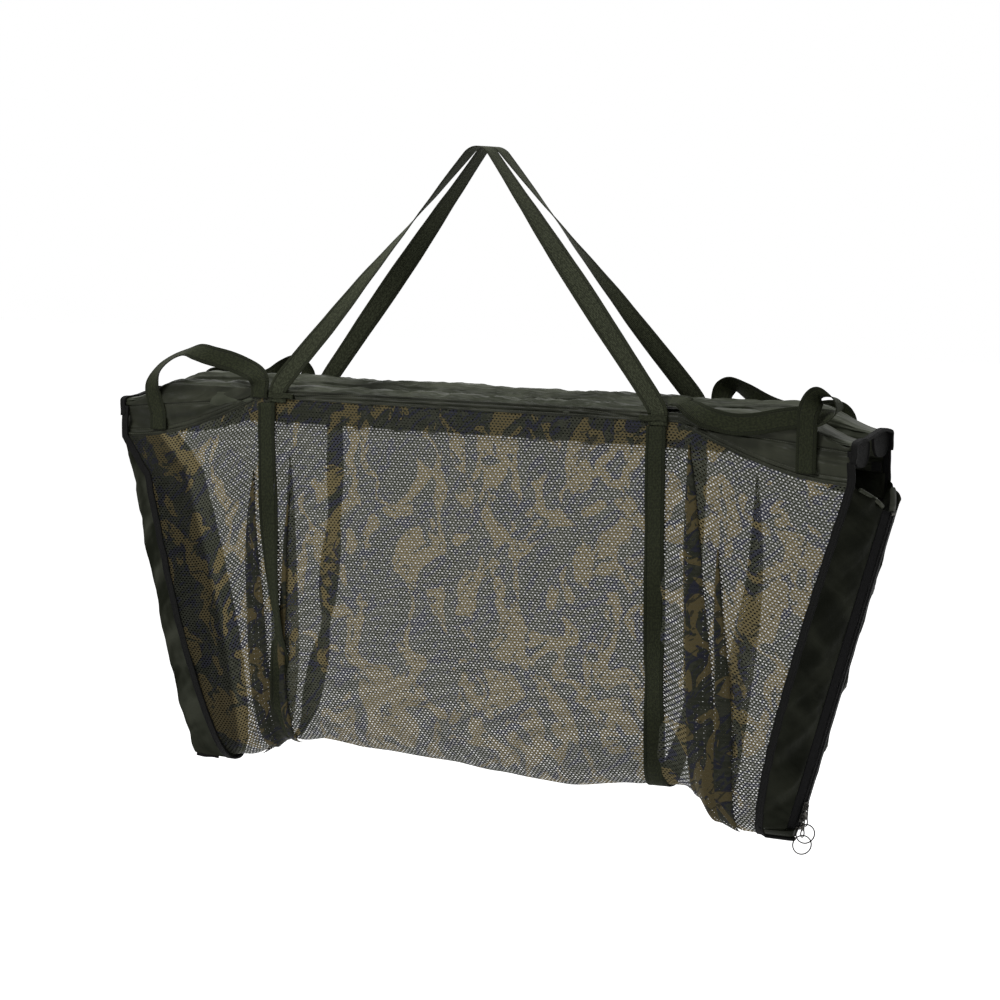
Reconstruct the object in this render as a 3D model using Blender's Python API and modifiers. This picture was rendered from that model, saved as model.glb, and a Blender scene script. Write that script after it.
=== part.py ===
"""Weigh sling: a see-through mesh trough hung from two float sleeves by two webbing loops.

Frame: origin where the loops pass over the scale's hook, +X along the sling towards its
zipped end, -Y towards the front, +Z up. All lengths are metres.
"""
import math

import bmesh
import bpy
from mathutils import Matrix, Vector

# Driving sizes of the sling
BODY_HALF = 0.600            # half the length of the hems
HOOK_TO_HEM = 0.372          # hook down to the hem between the loops
TROUGH_DEPTH = 0.512         # hem down to the bottom beside the belts
CLOTH = 0.0012               # mesh and nylon
WEBBING = 0.0016
STRAP_WIDTH = 0.030
GAP = 0.0003                 # between pieces that touch

# Float sleeves and the foam bars in them
MOUTH = 0.012
SLEEVE_DEPTH = 0.054
SLEEVE_HEIGHT = 0.060
SLEEVE_PROUD = 0.004         # each sleeve reaches past the hems
SLEEVE_ROUND = 2.6           # exponent of the rounded section
FRONT_SLEEVE_Z = -0.380
BACK_SLEEVE_Z = -0.370
SLEEVE_SIDES = 20
SLEEVE_HALF = BODY_HALF + SLEEVE_PROUD
BAR_CLEARANCE = 0.0008
SLEEVE_END = 0.0030

# Hem, which hangs lower outside the loops
HEM_LEVEL_HALF = 0.345
HEM_DROP = 0.070
BAND_TOP_Z = -0.362

# Trough: its half width at the hem, its belly and its bottom line
TOP_HALF = MOUTH / 2 + SLEEVE_DEPTH + GAP + CLOTH / 2
BELLY = 0.018
SIDE_POWER = 2 / 3
SAG_MID = 0.018
SAG_END = 0.050
SAG_RUN = 0.090
SECTION_STEPS = 24
INNER_STEPS = 5              # columns from the middle to a belt
OUTER_STEPS = 6              # columns from a belt to the end
BAND_STEPS = 2
SLOPE_PROBE = math.radians(0.1)
FOLD_DEPTH = 0.006
FOLD_RUN = 0.130             # width of the fold, from the belt outwards
FOLD_FADE = 0.5

# Belts and loops
BELT_X = 0.315
BELT_FLAT = 0.018
LOOP_APEX_RADIUS = 0.026
LOOP_SIDE = 0.0155           # middle of each loop beside the hook's centre line
TACK_LIFT = 0.0015           # tacks above the hem
TACK_LENGTH = 0.043
TACK_HEIGHT = 0.007
TACK_THICKNESS = 2 * WEBBING
LOOP_RISE = 0.010
LOOP_START_SHARE = 0.7        # of the rise that the bend above the base takes up
LOOP_BEND = 0.030
BEND_STEPS = 6
LOOP_STEPS = 30

# Ends: slanted seams, a bellied gusset and, on the right, the zip along its crest
SLANT = 0.28
ZIP_TURN = math.radians(15)  # the zip faces a little to the front
BINDING_WIDTH = 0.010
BINDING = 0.0024
BULGE = 0.040
BULGE_POWER = 1.4
TOP_DIP = 0.030
PANEL_STEPS = 12
PANEL_COLUMNS = 12
GUSSET_STEPS = 10
GUSSET_COLUMNS = 5
FOOT_STEPS = 6
FOOT_COLUMNS = 14
PANEL_LAST_SHARE = 0.965
CLOSING_SHARES = [0.985, 0.995]
PANEL_TRIM = math.radians(1)
FOOT_TRIM = math.radians(0.5)
FOOT_POWER = 5.4             # boxy section of the closed foot below the zip
FIN_HEIGHT = 0.008
FIN_SHORT = 0.006
FIN_COLUMNS = 4
FIN_STEPS = 2
TAPE_WIDTH = 0.0140
TAPE_FOLD = 0.005
TAPE_FLAT = 0.0045            # flat run beside the slot, under the sliders
SLOT_HALF = 0.0015
COIL_WIDTH = 0.0028
COIL_HEIGHT = 0.0020
TAPE_STEPS = 8
ZIP_TOP_DROP = 0.036         # zip's top stop below the hem
ZIP_FOOT = 0.0009            # zip's bottom stop above the top of the closed foot
STOP_LENGTH = 0.004
STOP_HEIGHT = 0.0030

# Sliders, pull tabs and split rings
SLIDER_LENGTH = 0.0130
SLIDER_WIDTH = 0.0090
SLIDER_PLATE = 0.0014
SLIDER_PITCH = 0.0165
SLIDER_RISE = 0.018          # lower slider above the bottom stop
POST_LENGTH = 0.0050
BAIL_LENGTH = 0.0076
BAIL_WIDTH = 0.0020
BAIL_HEIGHT = 0.0038
BAIL_WALL = 0.0012
TAB_LENGTH = 0.0260
TAB_WIDTH = 0.0066
TAB_THICKNESS = 0.0012
TAB_BAR = 0.0014
TAB_WINDOW_HALF = 0.0017
TAB_WINDOW_LENGTH = 0.0060
EYE_HALF_WIDTH = 0.0031
EYE_HALF_HEIGHT = 0.0044
EYE_RIM = 0.0013
EYE_STEPS = 15
RIM_STEPS = 14
RIM_START = math.radians(144)
RIM_END = math.radians(396)
RING_RADIUS = 0.0130
RING_WIRE = 0.0008
RING_REST = 0.0019           # middle of the wire above the bottom of the eye
RING_TURN = math.radians(39)
RING_STEPS = 28
WIRE_STEPS = 8

# Carry handles: where their two ends are sewn on the bands
HANDLE_INSET = 0.064         # outer end in from the end of the hem
HANDLE_FROM_BELT = 0.034     # inner end outside the belt
HANDLE_OUTER_LIFT = 0.0326   # above the hem
HANDLE_INNER_LIFT = 0.0027
AXIS_DROP = 0.0002           # hinge line below the sewn ends
HANDLE_RISE = 0.090
HANDLE_REACH = 0.020
PATCH_HEIGHT = 0.024
PATCH_GAP = 0.0008

# Small cloth pieces at the zipped end
LABEL_WIDTH = 0.014
LABEL_HEIGHT = 0.012
LABEL_Z = -0.425
TONGUE_WIDTH = 0.012
TONGUE_LENGTH = 0.030
TONGUE_THICKNESS = 0.0018
OVERRUN = 0.002

NAME = "weigh_sling"


def new_collection(name):
    made = bpy.data.collections.new(name)
    bpy.context.scene.collection.children.link(made)
    return made


def new_material(name, colour, roughness, metallic=0.0):
    made = bpy.data.materials.new(name)
    made.use_nodes = True
    shader = made.node_tree.nodes["Principled BSDF"]
    shader.inputs["Base Color"].default_value = (*colour, 1.0)
    shader.inputs["Roughness"].default_value = roughness
    shader.inputs["Metallic"].default_value = metallic
    made.diffuse_color = (*colour, 1.0)
    return made


for old in list(bpy.data.objects):
    bpy.data.objects.remove(old, do_unlink=True)
PARTS = new_collection(NAME)
CUTTERS = new_collection("cutters")
NYLON = new_material("nylon", (0.045, 0.050, 0.032), 0.45)
MESH = new_material("camo_mesh", (0.110, 0.105, 0.070), 0.70)
WEB = new_material("webbing", (0.050, 0.056, 0.034), 0.70)
TRIM = new_material("black_trim", (0.012, 0.012, 0.013), 0.60)
FOAM = new_material("foam", (0.180, 0.180, 0.170), 0.90)
METAL = new_material("gunmetal", (0.300, 0.290, 0.270), 0.30, 1.0)
BRIGHT = new_material("bright_steel", (0.700, 0.690, 0.660), 0.22, 1.0)
LABEL = new_material("label_cloth", (0.018, 0.018, 0.018), 0.75)


def keep(thing, name, material):
    """Name a modelled object, give it its material and put it among the parts."""
    thing.name = name
    thing.data.name = name
    thing.data.materials.clear()
    thing.data.materials.append(material)
    for user in list(thing.users_collection):
        user.objects.unlink(thing)
    PARTS.objects.link(thing)
    return thing


def as_cutter(thing, name):
    """Put a helper shape among the cutters, out of the model."""
    thing.name = name
    for user in list(thing.users_collection):
        user.objects.unlink(thing)
    CUTTERS.objects.link(thing)
    thing.hide_render = True
    thing.display_type = "WIRE"
    return thing


def sheet(name, point, columns, rows, thickness, material, pivot=Vector(), twisted=False):
    """A cloth: a grid laid on point(column, row), given its thickness by Solidify.

    A twisted one is cut into triangles first, because its squares aren't flat.
    """
    across, down = len(columns) - 1, len(rows) - 1
    shape = bmesh.new()
    bmesh.ops.create_grid(shape, x_segments=across, y_segments=down, size=1)
    for vert in shape.verts:
        i = round((vert.co.x + 1) / 2 * across)
        j = round((vert.co.y + 1) / 2 * down)
        vert.co = point(columns[i], rows[j]) - pivot
    if twisted:
        bmesh.ops.triangulate(shape, faces=shape.faces[:])
    mesh = bpy.data.meshes.new(name)
    shape.to_mesh(mesh)
    shape.free()
    made = bpy.data.objects.new(name, mesh)
    bpy.context.scene.collection.objects.link(made)
    made.location = pivot
    wall = made.modifiers.new("thickness", "SOLIDIFY")
    wall.thickness = thickness
    wall.offset = 0.0
    return keep(made, name, material)


def smooth(share):
    """0 to 1 with level ends."""
    share = min(max(share, 0.0), 1.0)
    return share * share * (3 - 2 * share)


def mix(low, high, share):
    return low + (high - low) * share


def signed_power(value, power):
    return math.copysign(abs(value) ** power, value)


def spread(low, high, count):
    return [mix(low, high, k / count) for k in range(count + 1)]


def hem_z(x):
    """Height of the hem: level between the loops, then falling to the ends."""
    share = min(max((abs(x) - HEM_LEVEL_HALF) / (BODY_HALF - HEM_LEVEL_HALF), 0.0), 1.0)
    return -HOOK_TO_HEM - HEM_DROP * math.sin(math.pi / 2 * share)


BELT_Z = -HOOK_TO_HEM - TROUGH_DEPTH


def bottom_z(x):
    """Height of the bottom: lifted by the belts, sagging between and outside them."""
    reach = abs(x)
    inner, outer = BELT_X - BELT_FLAT, BELT_X + BELT_FLAT
    if reach < inner:
        return BELT_Z - SAG_MID * math.cos(math.pi / 2 * reach / inner) ** 2
    return BELT_Z - SAG_END * smooth((reach - outer) / SAG_RUN)


def section(angle, x):
    """Middle surface of the trough at x; angle 0 is the front hem, pi the back hem."""
    c, s = math.cos(angle), math.sin(angle)
    half = TOP_HALF + BELLY * abs(math.sin(2 * angle))
    y = -signed_power(c, SIDE_POWER) * half
    return y, mix(hem_z(x), bottom_z(x), s)


def wall_point(angle, x, outside=0.0, place=None):
    """Point of the trough's section, moved outside it square to the cloth."""
    y, z = section(angle, x)
    if outside:
        ay, az = section(max(angle - SLOPE_PROBE, 0.0), x)
        by, bz = section(min(angle + SLOPE_PROBE, math.pi), x)
        length = math.hypot(by - ay, bz - az)
        y += outside * (bz - az) / length
        z -= outside * (by - ay) / length
    return Vector((x if place is None else place, y, z))


END_HEM_Z = hem_z(BODY_HALF)
END_BOTTOM_Z = bottom_z(BODY_HALF)


def edge_x(angle):
    """Slanted end seam: how far out the trough reaches at this angle."""
    return BODY_HALF + SLANT * (mix(END_HEM_Z, END_BOTTOM_Z, math.sin(angle)) - END_HEM_Z)


EDGE_INSET = BINDING_WIDTH / 2 + GAP
PANEL_INSET = EDGE_INSET + CLOTH / 2
CREST_X = BODY_HALF + BINDING_WIDTH / 2 + BULGE


def crest_x(z):
    return CREST_X + SLANT * (z - END_HEM_Z)


ANGLES = spread(0.0, math.pi, SECTION_STEPS)
INNER_COLUMNS = spread(0.0, BELT_X - BELT_FLAT, INNER_STEPS)
OUTER_SHARES = spread(0.0, 1.0, OUTER_STEPS)


def column_list():
    """Columns across the trough: (x, share of the way from the belt to the end)."""
    right = [(x, 0.0) for x in INNER_COLUMNS] + [(BELT_X + BELT_FLAT, 0.0)]
    right += [(None, share) for share in OUTER_SHARES[1:]]
    return right


def columns_both():
    right = column_list()
    left = [(-1, *column) for column in reversed(right[1:])]
    return left + [(1, *column) for column in right]


def place_column(column, angle):
    """x that shapes a column's section, and the x where it stands."""
    side, x, share = column
    if x is not None:
        return side * x, side * x
    shape_x = mix(BELT_X + BELT_FLAT, edge_x(angle), share)
    stand_x = mix(BELT_X + BELT_FLAT, edge_x(angle) - EDGE_INSET, share)
    return side * shape_x, side * stand_x


def fold(angle, x):
    """Main folds of the mesh outside the belts: how far the cloth swells outwards."""
    gone = min(max((abs(x) - BELT_X - BELT_FLAT) / FOLD_RUN, 0.0), 1.0)
    near = math.sin(math.pi * gone) ** 2
    fade = math.sin(min(math.sin(angle) / FOLD_FADE, 1.0) * math.pi / 2)
    return FOLD_DEPTH * near * fade * abs(math.cos(angle))


def trough_point(column, angle):
    shape_x, stand_x = place_column(column, angle)
    point = wall_point(angle, shape_x, fold(angle, shape_x))
    point.x = stand_x
    return point


sheet("mesh_trough", trough_point, columns_both(), ANGLES, CLOTH, MESH)


def make_band(name, side):
    """Nylon band sewn down the outside of a sleeve, its lower edge on the hem."""
    def point(column, share):
        shape_x, stand_x = place_column(column, 0.0)
        return Vector((stand_x, side * TOP_HALF, mix(BAND_TOP_Z, hem_z(shape_x) + GAP, share)))
    sheet(name, point, columns_both(), spread(0.0, 1.0, BAND_STEPS), CLOTH, NYLON)


make_band("front_band", -1)
make_band("back_band", 1)


def rounded_tube(name, y, z, half_depth, half_height, half_length, material, capped):
    """A bar or sleeve along X whose section is a rounded rectangle."""
    shape = bmesh.new()
    bmesh.ops.create_cone(shape, cap_ends=capped, segments=SLEEVE_SIDES,
                          radius1=1, radius2=1, depth=2)
    power = 2 / SLEEVE_ROUND
    for vert in shape.verts:
        across = signed_power(vert.co.x, power) * half_depth
        up = signed_power(vert.co.y, power) * half_height
        vert.co = (vert.co.z * half_length, across, up)
    mesh = bpy.data.meshes.new(name)
    shape.to_mesh(mesh)
    shape.free()
    made = bpy.data.objects.new(name, mesh)
    bpy.context.scene.collection.objects.link(made)
    made.location = (0, y, z)
    if not capped:
        wall = made.modifiers.new("thickness", "SOLIDIFY")
        wall.thickness = CLOTH
        wall.offset = -1.0
    keep(made, name, material)
    return made


def make_float(side, word, z):
    """A sleeve, the foam bar inside it and the two bound discs that close it."""
    y = side * (MOUTH / 2 + SLEEVE_DEPTH / 2)
    half_depth, half_height = SLEEVE_DEPTH / 2, SLEEVE_HEIGHT / 2
    rounded_tube(word + "_float_sleeve", y, z, half_depth, half_height, SLEEVE_HALF,
                 NYLON, False)
    slack = CLOTH + BAR_CLEARANCE
    rounded_tube(word + "_float_bar", y, z, half_depth - slack, half_height - slack,
                 SLEEVE_HALF - GAP, FOAM, True)
    for end, end_word in ((-1, "left"), (1, "right")):
        disc = rounded_tube("%s_%s_sleeve_end" % (word, end_word), y, z, half_depth,
                            half_height, SLEEVE_END / 2, TRIM, True)
        disc.location.x = end * (SLEEVE_HALF + GAP + SLEEVE_END / 2)


make_float(-1, "front", FRONT_SLEEVE_Z)
make_float(1, "back", BACK_SLEEVE_Z)

BAND_ROWS_SHARES = [-1.0, -0.5]


def seam_place(row):
    """Place on the end seam: rows below 0 climb the front band, rows past pi the back."""
    if row < 0:
        return 0.0, mix(hem_z(BODY_HALF), BAND_TOP_Z, -row)
    if row > math.pi:
        return math.pi, mix(hem_z(BODY_HALF), BAND_TOP_Z, row - math.pi)
    return row, None


def make_binding(name, side):
    """Black binding round the seam of the mesh and the end, up to the tops of the bands."""
    def point(across, row):
        angle, height = seam_place(row)
        seam = edge_x(angle)
        place = wall_point(angle, seam, (BINDING - CLOTH) / 2)
        place.x = side * (seam + across)
        if height is not None:
            place.z = height
        return place
    rows = BAND_ROWS_SHARES + ANGLES + [math.pi - share for share in reversed(BAND_ROWS_SHARES)]
    edges = [-BINDING_WIDTH / 2, BINDING_WIDTH / 2]
    sheet(name, point, edges, rows, BINDING, TRIM)


make_binding("left_end_binding", -1)
make_binding("right_end_binding", 1)


def panel_row(angle, share_in):
    """Seam point of an end panel's row; its top row dips towards the middle."""
    y, z = section(angle, edge_x(angle))
    dip = TOP_DIP * share_in * (1 - math.sin(angle)) ** 2
    return abs(y), z - dip


def left_panel_point(across, angle):
    """The sewn gusset of the left end, bellied outwards, -1 front seam to 1 back seam."""
    share_in = 1 - abs(across)
    half, z = panel_row(angle, share_in)
    start = edge_x(angle) + PANEL_INSET
    x = mix(start, crest_x(z), 1 - abs(across) ** BULGE_POWER)
    return Vector((-x, half * across, z))


PANEL_ANGLES = spread(0.0, math.pi / 2 * PANEL_LAST_SHARE, PANEL_STEPS)
PANEL_ANGLES += [math.pi / 2 * share for share in CLOSING_SHARES]
sheet("left_end_panel", left_panel_point, spread(-1.0, 1.0, PANEL_COLUMNS), PANEL_ANGLES,
      CLOTH, NYLON)


ZIP_TILT = math.atan(SLANT)
ALONG_ZIP = Vector((math.sin(ZIP_TILT), 0, math.cos(ZIP_TILT)))
SQUARE_OUT = Vector((math.cos(ZIP_TILT), 0, -math.sin(ZIP_TILT)))
ACROSS_ZIP = SQUARE_OUT * math.sin(ZIP_TURN) + Vector((0, math.cos(ZIP_TURN), 0))
OUT_OF_ZIP = SQUARE_OUT * math.cos(ZIP_TURN) - Vector((0, math.sin(ZIP_TURN), 0))
ZIP_FRAME = Matrix((OUT_OF_ZIP, ACROSS_ZIP, ALONG_ZIP)).transposed()


def crest_point(z, out=0.0, side=0.0):
    """Point beside the zip's line: out square to the tape, side across it towards the back."""
    return Vector((crest_x(z), 0, z)) + OUT_OF_ZIP * out + ACROSS_ZIP * side


TAPE_EDGE = SLOT_HALF + TAPE_WIDTH + GAP + CLOTH / 2
GUSSET_LAST = PANEL_LAST_SHARE * math.pi / 2
while section(GUSSET_LAST, edge_x(GUSSET_LAST))[0] > -TAPE_EDGE - TAPE_WIDTH / 2:
    GUSSET_LAST -= PANEL_TRIM


def make_right_panel(name, side):
    """One half of the zipped gusset, from its seam in to the outer edge of the zip tape."""

    def point(share_in, angle):
        half, z = panel_row(angle, share_in)
        start = edge_x(angle) + PANEL_INSET
        offset = ACROSS_ZIP * side * TAPE_EDGE - OUT_OF_ZIP * TAPE_FOLD
        meet = crest_point(z - offset.z) + offset
        x = mix(start, meet.x, 1 - (1 - share_in) ** BULGE_POWER)
        return Vector((x, mix(side * half, meet.y, share_in), z))
    sheet(name, point, spread(0.0, 1.0, GUSSET_COLUMNS), spread(0.0, GUSSET_LAST, GUSSET_STEPS),
          CLOTH, NYLON)


make_right_panel("right_front_gusset", -1)
make_right_panel("right_back_gusset", 1)


def foot_point(across, angle):
    """Closed foot of the right end below the zip, -1 front seam to 1 back seam."""
    y, z = section(angle, edge_x(angle))
    x = mix(edge_x(angle) + PANEL_INSET, crest_x(z), 1 - abs(across) ** FOOT_POWER)
    return Vector((x, -y * across, z))


FOOT_ANGLES = spread(GUSSET_LAST + FOOT_TRIM, math.pi / 2 * CLOSING_SHARES[-1], FOOT_STEPS)
sheet("right_end_foot", foot_point, spread(-1.0, 1.0, FOOT_COLUMNS), FOOT_ANGLES, CLOTH, NYLON)


def make_fin(name, side):
    """Black binding along the bottom of an end, from the seam out to the crest."""
    low_angle = math.pi / 2
    top_z = section(low_angle, edge_x(low_angle))[1] - CLOTH / 2 - GAP
    start = edge_x(low_angle) + PANEL_INSET

    def point(along, down):
        reach = mix(crest_x(top_z) - start, crest_x(top_z) - start - FIN_SHORT, down)
        return Vector((side * (start + reach * along), 0, top_z - FIN_HEIGHT * down))
    sheet(name, point, spread(0.0, 1.0, FIN_COLUMNS), spread(0.0, 1.0, FIN_STEPS), BINDING,
          TRIM)


make_fin("left_foot_binding", -1)
make_fin("right_foot_binding", 1)


ZIP_TOP_Z = END_HEM_Z - ZIP_TOP_DROP
ZIP_BOTTOM_Z = section(FOOT_ANGLES[0], edge_x(FOOT_ANGLES[0]))[1] + ZIP_FOOT


def make_tape(name, side):
    """One zip tape, from the slot at the crest out to the gusset's edge."""
    def point(across, z):
        folded = max(across - TAPE_FLAT, 0.0) / (TAPE_WIDTH - TAPE_FLAT)
        return crest_point(z, -TAPE_FOLD * folded, side * (SLOT_HALF + across))
    rows = spread(ZIP_TOP_Z, ZIP_BOTTOM_Z, TAPE_STEPS)
    sheet(name, point, [0.0, TAPE_FLAT, TAPE_WIDTH], rows, CLOTH, TRIM)


make_tape("front_zip_tape", -1)
make_tape("back_zip_tape", 1)


def box(name, size, location, turned=None):
    """A cuboid of the given size, standing at location and turned by a matrix."""
    bpy.ops.mesh.primitive_cube_add(size=1)
    made = bpy.context.active_object
    made.name = name
    made.data.transform(Matrix.Diagonal((*size, 1.0)))
    made.location = location
    if turned is not None:
        made.rotation_euler = turned.to_euler()
    return made


TAPE_TOP = CLOTH / 2
COIL_LOW_Z = ZIP_BOTTOM_Z + STOP_LENGTH + GAP
COIL_HIGH_Z = ZIP_TOP_Z - STOP_LENGTH - GAP


def make_zip_run(name, low_z, high_z, y, width, height, material):
    """A straight bar on the tape along the crest, such as a coil or a stop."""
    length = (high_z - low_z) / math.cos(ZIP_TILT)
    middle = crest_point(mix(low_z, high_z, 0.5), TAPE_TOP + GAP + height / 2, y)
    made = box(name, (height, width, length), middle, ZIP_FRAME)
    keep(made, name, material)


for side, word in ((-1, "front"), (1, "back")):
    make_zip_run(word + "_zip_coil", COIL_LOW_Z, COIL_HIGH_Z,
                 side * (SLOT_HALF + COIL_WIDTH / 2), COIL_WIDTH, COIL_HEIGHT, TRIM)
STOP_WIDTH = 2 * (SLOT_HALF + COIL_WIDTH)
make_zip_run("zip_bottom_stop", ZIP_BOTTOM_Z, ZIP_BOTTOM_Z + STOP_LENGTH, 0.0,
             STOP_WIDTH, STOP_HEIGHT, METAL)
make_zip_run("zip_top_stop", ZIP_TOP_Z - STOP_LENGTH, ZIP_TOP_Z, 0.0,
             STOP_WIDTH, STOP_HEIGHT, METAL)

SLIDER_INSIDE = TAPE_TOP + GAP + COIL_HEIGHT + GAP
SLIDER_TOP = SLIDER_INSIDE + SLIDER_PLATE
PIVOT_OUT = SLIDER_TOP + (BAIL_HEIGHT - BAIL_WALL) / 2


def join(base, others):
    """Union the others into base and keep them as hidden operands."""
    for number, other in enumerate(others):
        as_cutter(other, "%s_part_%d" % (base.name, number))
        union = base.modifiers.new("join", "BOOLEAN")
        union.operation = "UNION"
        union.object = other
    return base


def cut(base, cutter):
    as_cutter(cutter, base.name + "_cut")
    hollow = base.modifiers.new("cut", "BOOLEAN")
    hollow.operation = "DIFFERENCE"
    hollow.object = cutter


def make_slider(name, z):
    """A slider: plates over and under the tape, the post between them and the bail."""
    base = box(name, (SLIDER_PLATE, SLIDER_WIDTH, SLIDER_LENGTH),
               crest_point(z, SLIDER_INSIDE + SLIDER_PLATE / 2), ZIP_FRAME)
    under = -TAPE_TOP - GAP - SLIDER_PLATE / 2
    inner = box(name + "_inner", (SLIDER_PLATE, SLIDER_WIDTH, SLIDER_LENGTH),
                crest_point(z, under), ZIP_FRAME)
    post_top = SLIDER_INSIDE + SLIDER_PLATE / 2
    post = box(name + "_post", (post_top - under, 2 * (SLOT_HALF - GAP), POST_LENGTH),
               crest_point(z, (post_top + under) / 2), ZIP_FRAME)
    bail_low = SLIDER_TOP - SLIDER_PLATE / 2
    bail_high = SLIDER_TOP + BAIL_HEIGHT
    bail = box(name + "_bail", (bail_high - bail_low, BAIL_WIDTH, BAIL_LENGTH),
               crest_point(z, (bail_low + bail_high) / 2), ZIP_FRAME)
    join(base, [inner, post, bail])
    hole_height = BAIL_HEIGHT - BAIL_WALL
    hole = box(name + "_hole", (hole_height, BAIL_WIDTH + OVERRUN, BAIL_LENGTH - 2 * BAIL_WALL),
               crest_point(z, SLIDER_TOP + hole_height / 2), ZIP_FRAME)
    cut(base, hole)
    return keep(base, name, METAL)


def outline(curve, points):
    """Add a closed outline of straight runs to a flat curve."""
    spline = curve.splines.new("POLY")
    spline.points.add(len(points) - 1)
    for target, (x, y) in zip(spline.points, points):
        target.co = (x, y, 0, 1)
    spline.use_cyclic_u = True


def oval(half_x, half_y, centre_y, start, end, count):
    turn = spread(start, end, count)
    return [(half_x * math.cos(a), centre_y + half_y * math.sin(a)) for a in turn]


EYE_Z = -(TAB_LENGTH - EYE_HALF_HEIGHT)
EYE_BOTTOM = EYE_Z - EYE_HALF_HEIGHT
NECK_Z = EYE_Z + EYE_HALF_HEIGHT + EYE_RIM


TAB_UP = (Vector((0, 0, 1)) - ACROSS_ZIP * ACROSS_ZIP.z).normalized()
TAB_FRAME = Matrix((ACROSS_ZIP, TAB_UP, ACROSS_ZIP.cross(TAB_UP))).transposed()


def make_tab(name, pivot):
    """Pull tab hanging from its bar at the pivot: a window above, an eye for the ring below."""
    curve = bpy.data.curves.new(name, "CURVE")
    curve.dimensions = "2D"
    curve.fill_mode = "BOTH"
    curve.extrude = TAB_THICKNESS / 2
    half, top = TAB_WIDTH / 2, TAB_BAR / 2
    rim_x, rim_y = EYE_HALF_WIDTH + EYE_RIM, EYE_HALF_HEIGHT + EYE_RIM
    body = [(half, top), (-half, top), (-half, NECK_Z)]
    body += oval(rim_x, rim_y, EYE_Z, RIM_START, RIM_END, RIM_STEPS)
    body += [(half, NECK_Z)]
    outline(curve, body)
    window_low = -top - TAB_WINDOW_LENGTH
    outline(curve, [(TAB_WINDOW_HALF, -top), (-TAB_WINDOW_HALF, -top),
                    (-TAB_WINDOW_HALF, window_low), (TAB_WINDOW_HALF, window_low)])
    last = 2 * math.pi * EYE_STEPS / (EYE_STEPS + 1)
    outline(curve, oval(EYE_HALF_WIDTH, EYE_HALF_HEIGHT, EYE_Z, 0.0, last, EYE_STEPS))
    made = bpy.data.objects.new(name, curve)
    bpy.context.scene.collection.objects.link(made)
    made.location = pivot
    made.rotation_euler = TAB_FRAME.to_euler()
    return keep(made, name, METAL)


def make_ring(name, pivot):
    """Split ring hanging in the eye; its origin is on the wire in the eye."""
    bpy.ops.mesh.primitive_torus_add(major_radius=RING_RADIUS, minor_radius=RING_WIRE,
                                     major_segments=RING_STEPS, minor_segments=WIRE_STEPS)
    made = bpy.context.active_object
    for vert in made.data.vertices:
        x, y, z = vert.co
        vert.co = (x, z, y - RING_RADIUS)
    made.data.flip_normals()
    made.location = pivot
    made.rotation_euler = (0, 0, RING_TURN)
    made.data.shade_smooth()
    return keep(made, name, BRIGHT)


def make_pull(word, z):
    """A slider with its pull tab and ring."""
    make_slider(word + "_slider", z)
    pivot = crest_point(z, PIVOT_OUT)
    make_tab(word + "_pull_tab", pivot)
    hang = pivot + TAB_UP * (EYE_BOTTOM + RING_REST)
    make_ring(word + "_split_ring", hang)


LOWER_SLIDER_Z = ZIP_BOTTOM_Z + SLIDER_RISE
make_pull("lower", LOWER_SLIDER_Z)
make_pull("upper", LOWER_SLIDER_Z + SLIDER_PITCH * math.cos(ZIP_TILT))

BAND_FACE = TOP_HALF + CLOTH / 2 + GAP      # outside of the band, with its gap
WEB_Y = BAND_FACE + WEBBING / 2


def make_belt(name, side):
    """Belt under the trough, sewn from the front hem down round to the back hem."""
    lift = CLOTH / 2 + GAP + WEBBING / 2

    def point(across, angle):
        place = wall_point(angle, side * BELT_X, lift)
        place.x += across
        return place
    sheet(name, point, [-STRAP_WIDTH / 2, STRAP_WIDTH / 2], ANGLES, WEBBING, WEB)


make_belt("left_belt", -1)
make_belt("right_belt", 1)

TACK_Z = -HOOK_TO_HEM + TACK_LIFT
HINGE_Z = TACK_Z + TACK_HEIGHT + GAP
LOOP_PIVOT_Y = BAND_FACE + TACK_THICKNESS + GAP
LEAN_Z = BAND_TOP_Z + STRAP_WIDTH / 2       # above this the loops lean in to the hook


def loop_route():
    """Half a loop in its own plane, base to apex: (x, height, width turn) along the webbing."""
    top = -LOOP_APEX_RADIUS + WEBBING / 2
    rise = HINGE_Z + LOOP_RISE
    dx, dz = BELT_X, top - rise
    reach = math.hypot(dx, dz)
    bearing = math.atan2(-dz, dx)
    tangent = math.acos(LOOP_APEX_RADIUS / reach) + bearing
    touch = (LOOP_APEX_RADIUS * math.cos(tangent), top + LOOP_APEX_RADIUS * math.sin(tangent))
    corner = Vector((BELT_X, rise))
    leg = Vector(touch) - corner
    points = [Vector((BELT_X, HINGE_Z))]
    start = corner - Vector((0, LOOP_RISE * LOOP_START_SHARE))
    end = corner + leg.normalized() * LOOP_BEND
    for share in spread(0.0, 1.0, BEND_STEPS):
        points.append(start.lerp(corner, share).lerp(corner.lerp(end, share), share))
    for k in range(1, LOOP_STEPS):
        points.append(end.lerp(Vector(touch), k / LOOP_STEPS))
    for turn in spread(tangent, math.pi / 2, BEND_STEPS):
        points.append(Vector((LOOP_APEX_RADIUS * math.cos(turn),
                              top + LOOP_APEX_RADIUS * math.sin(turn))))
    return points


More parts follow.
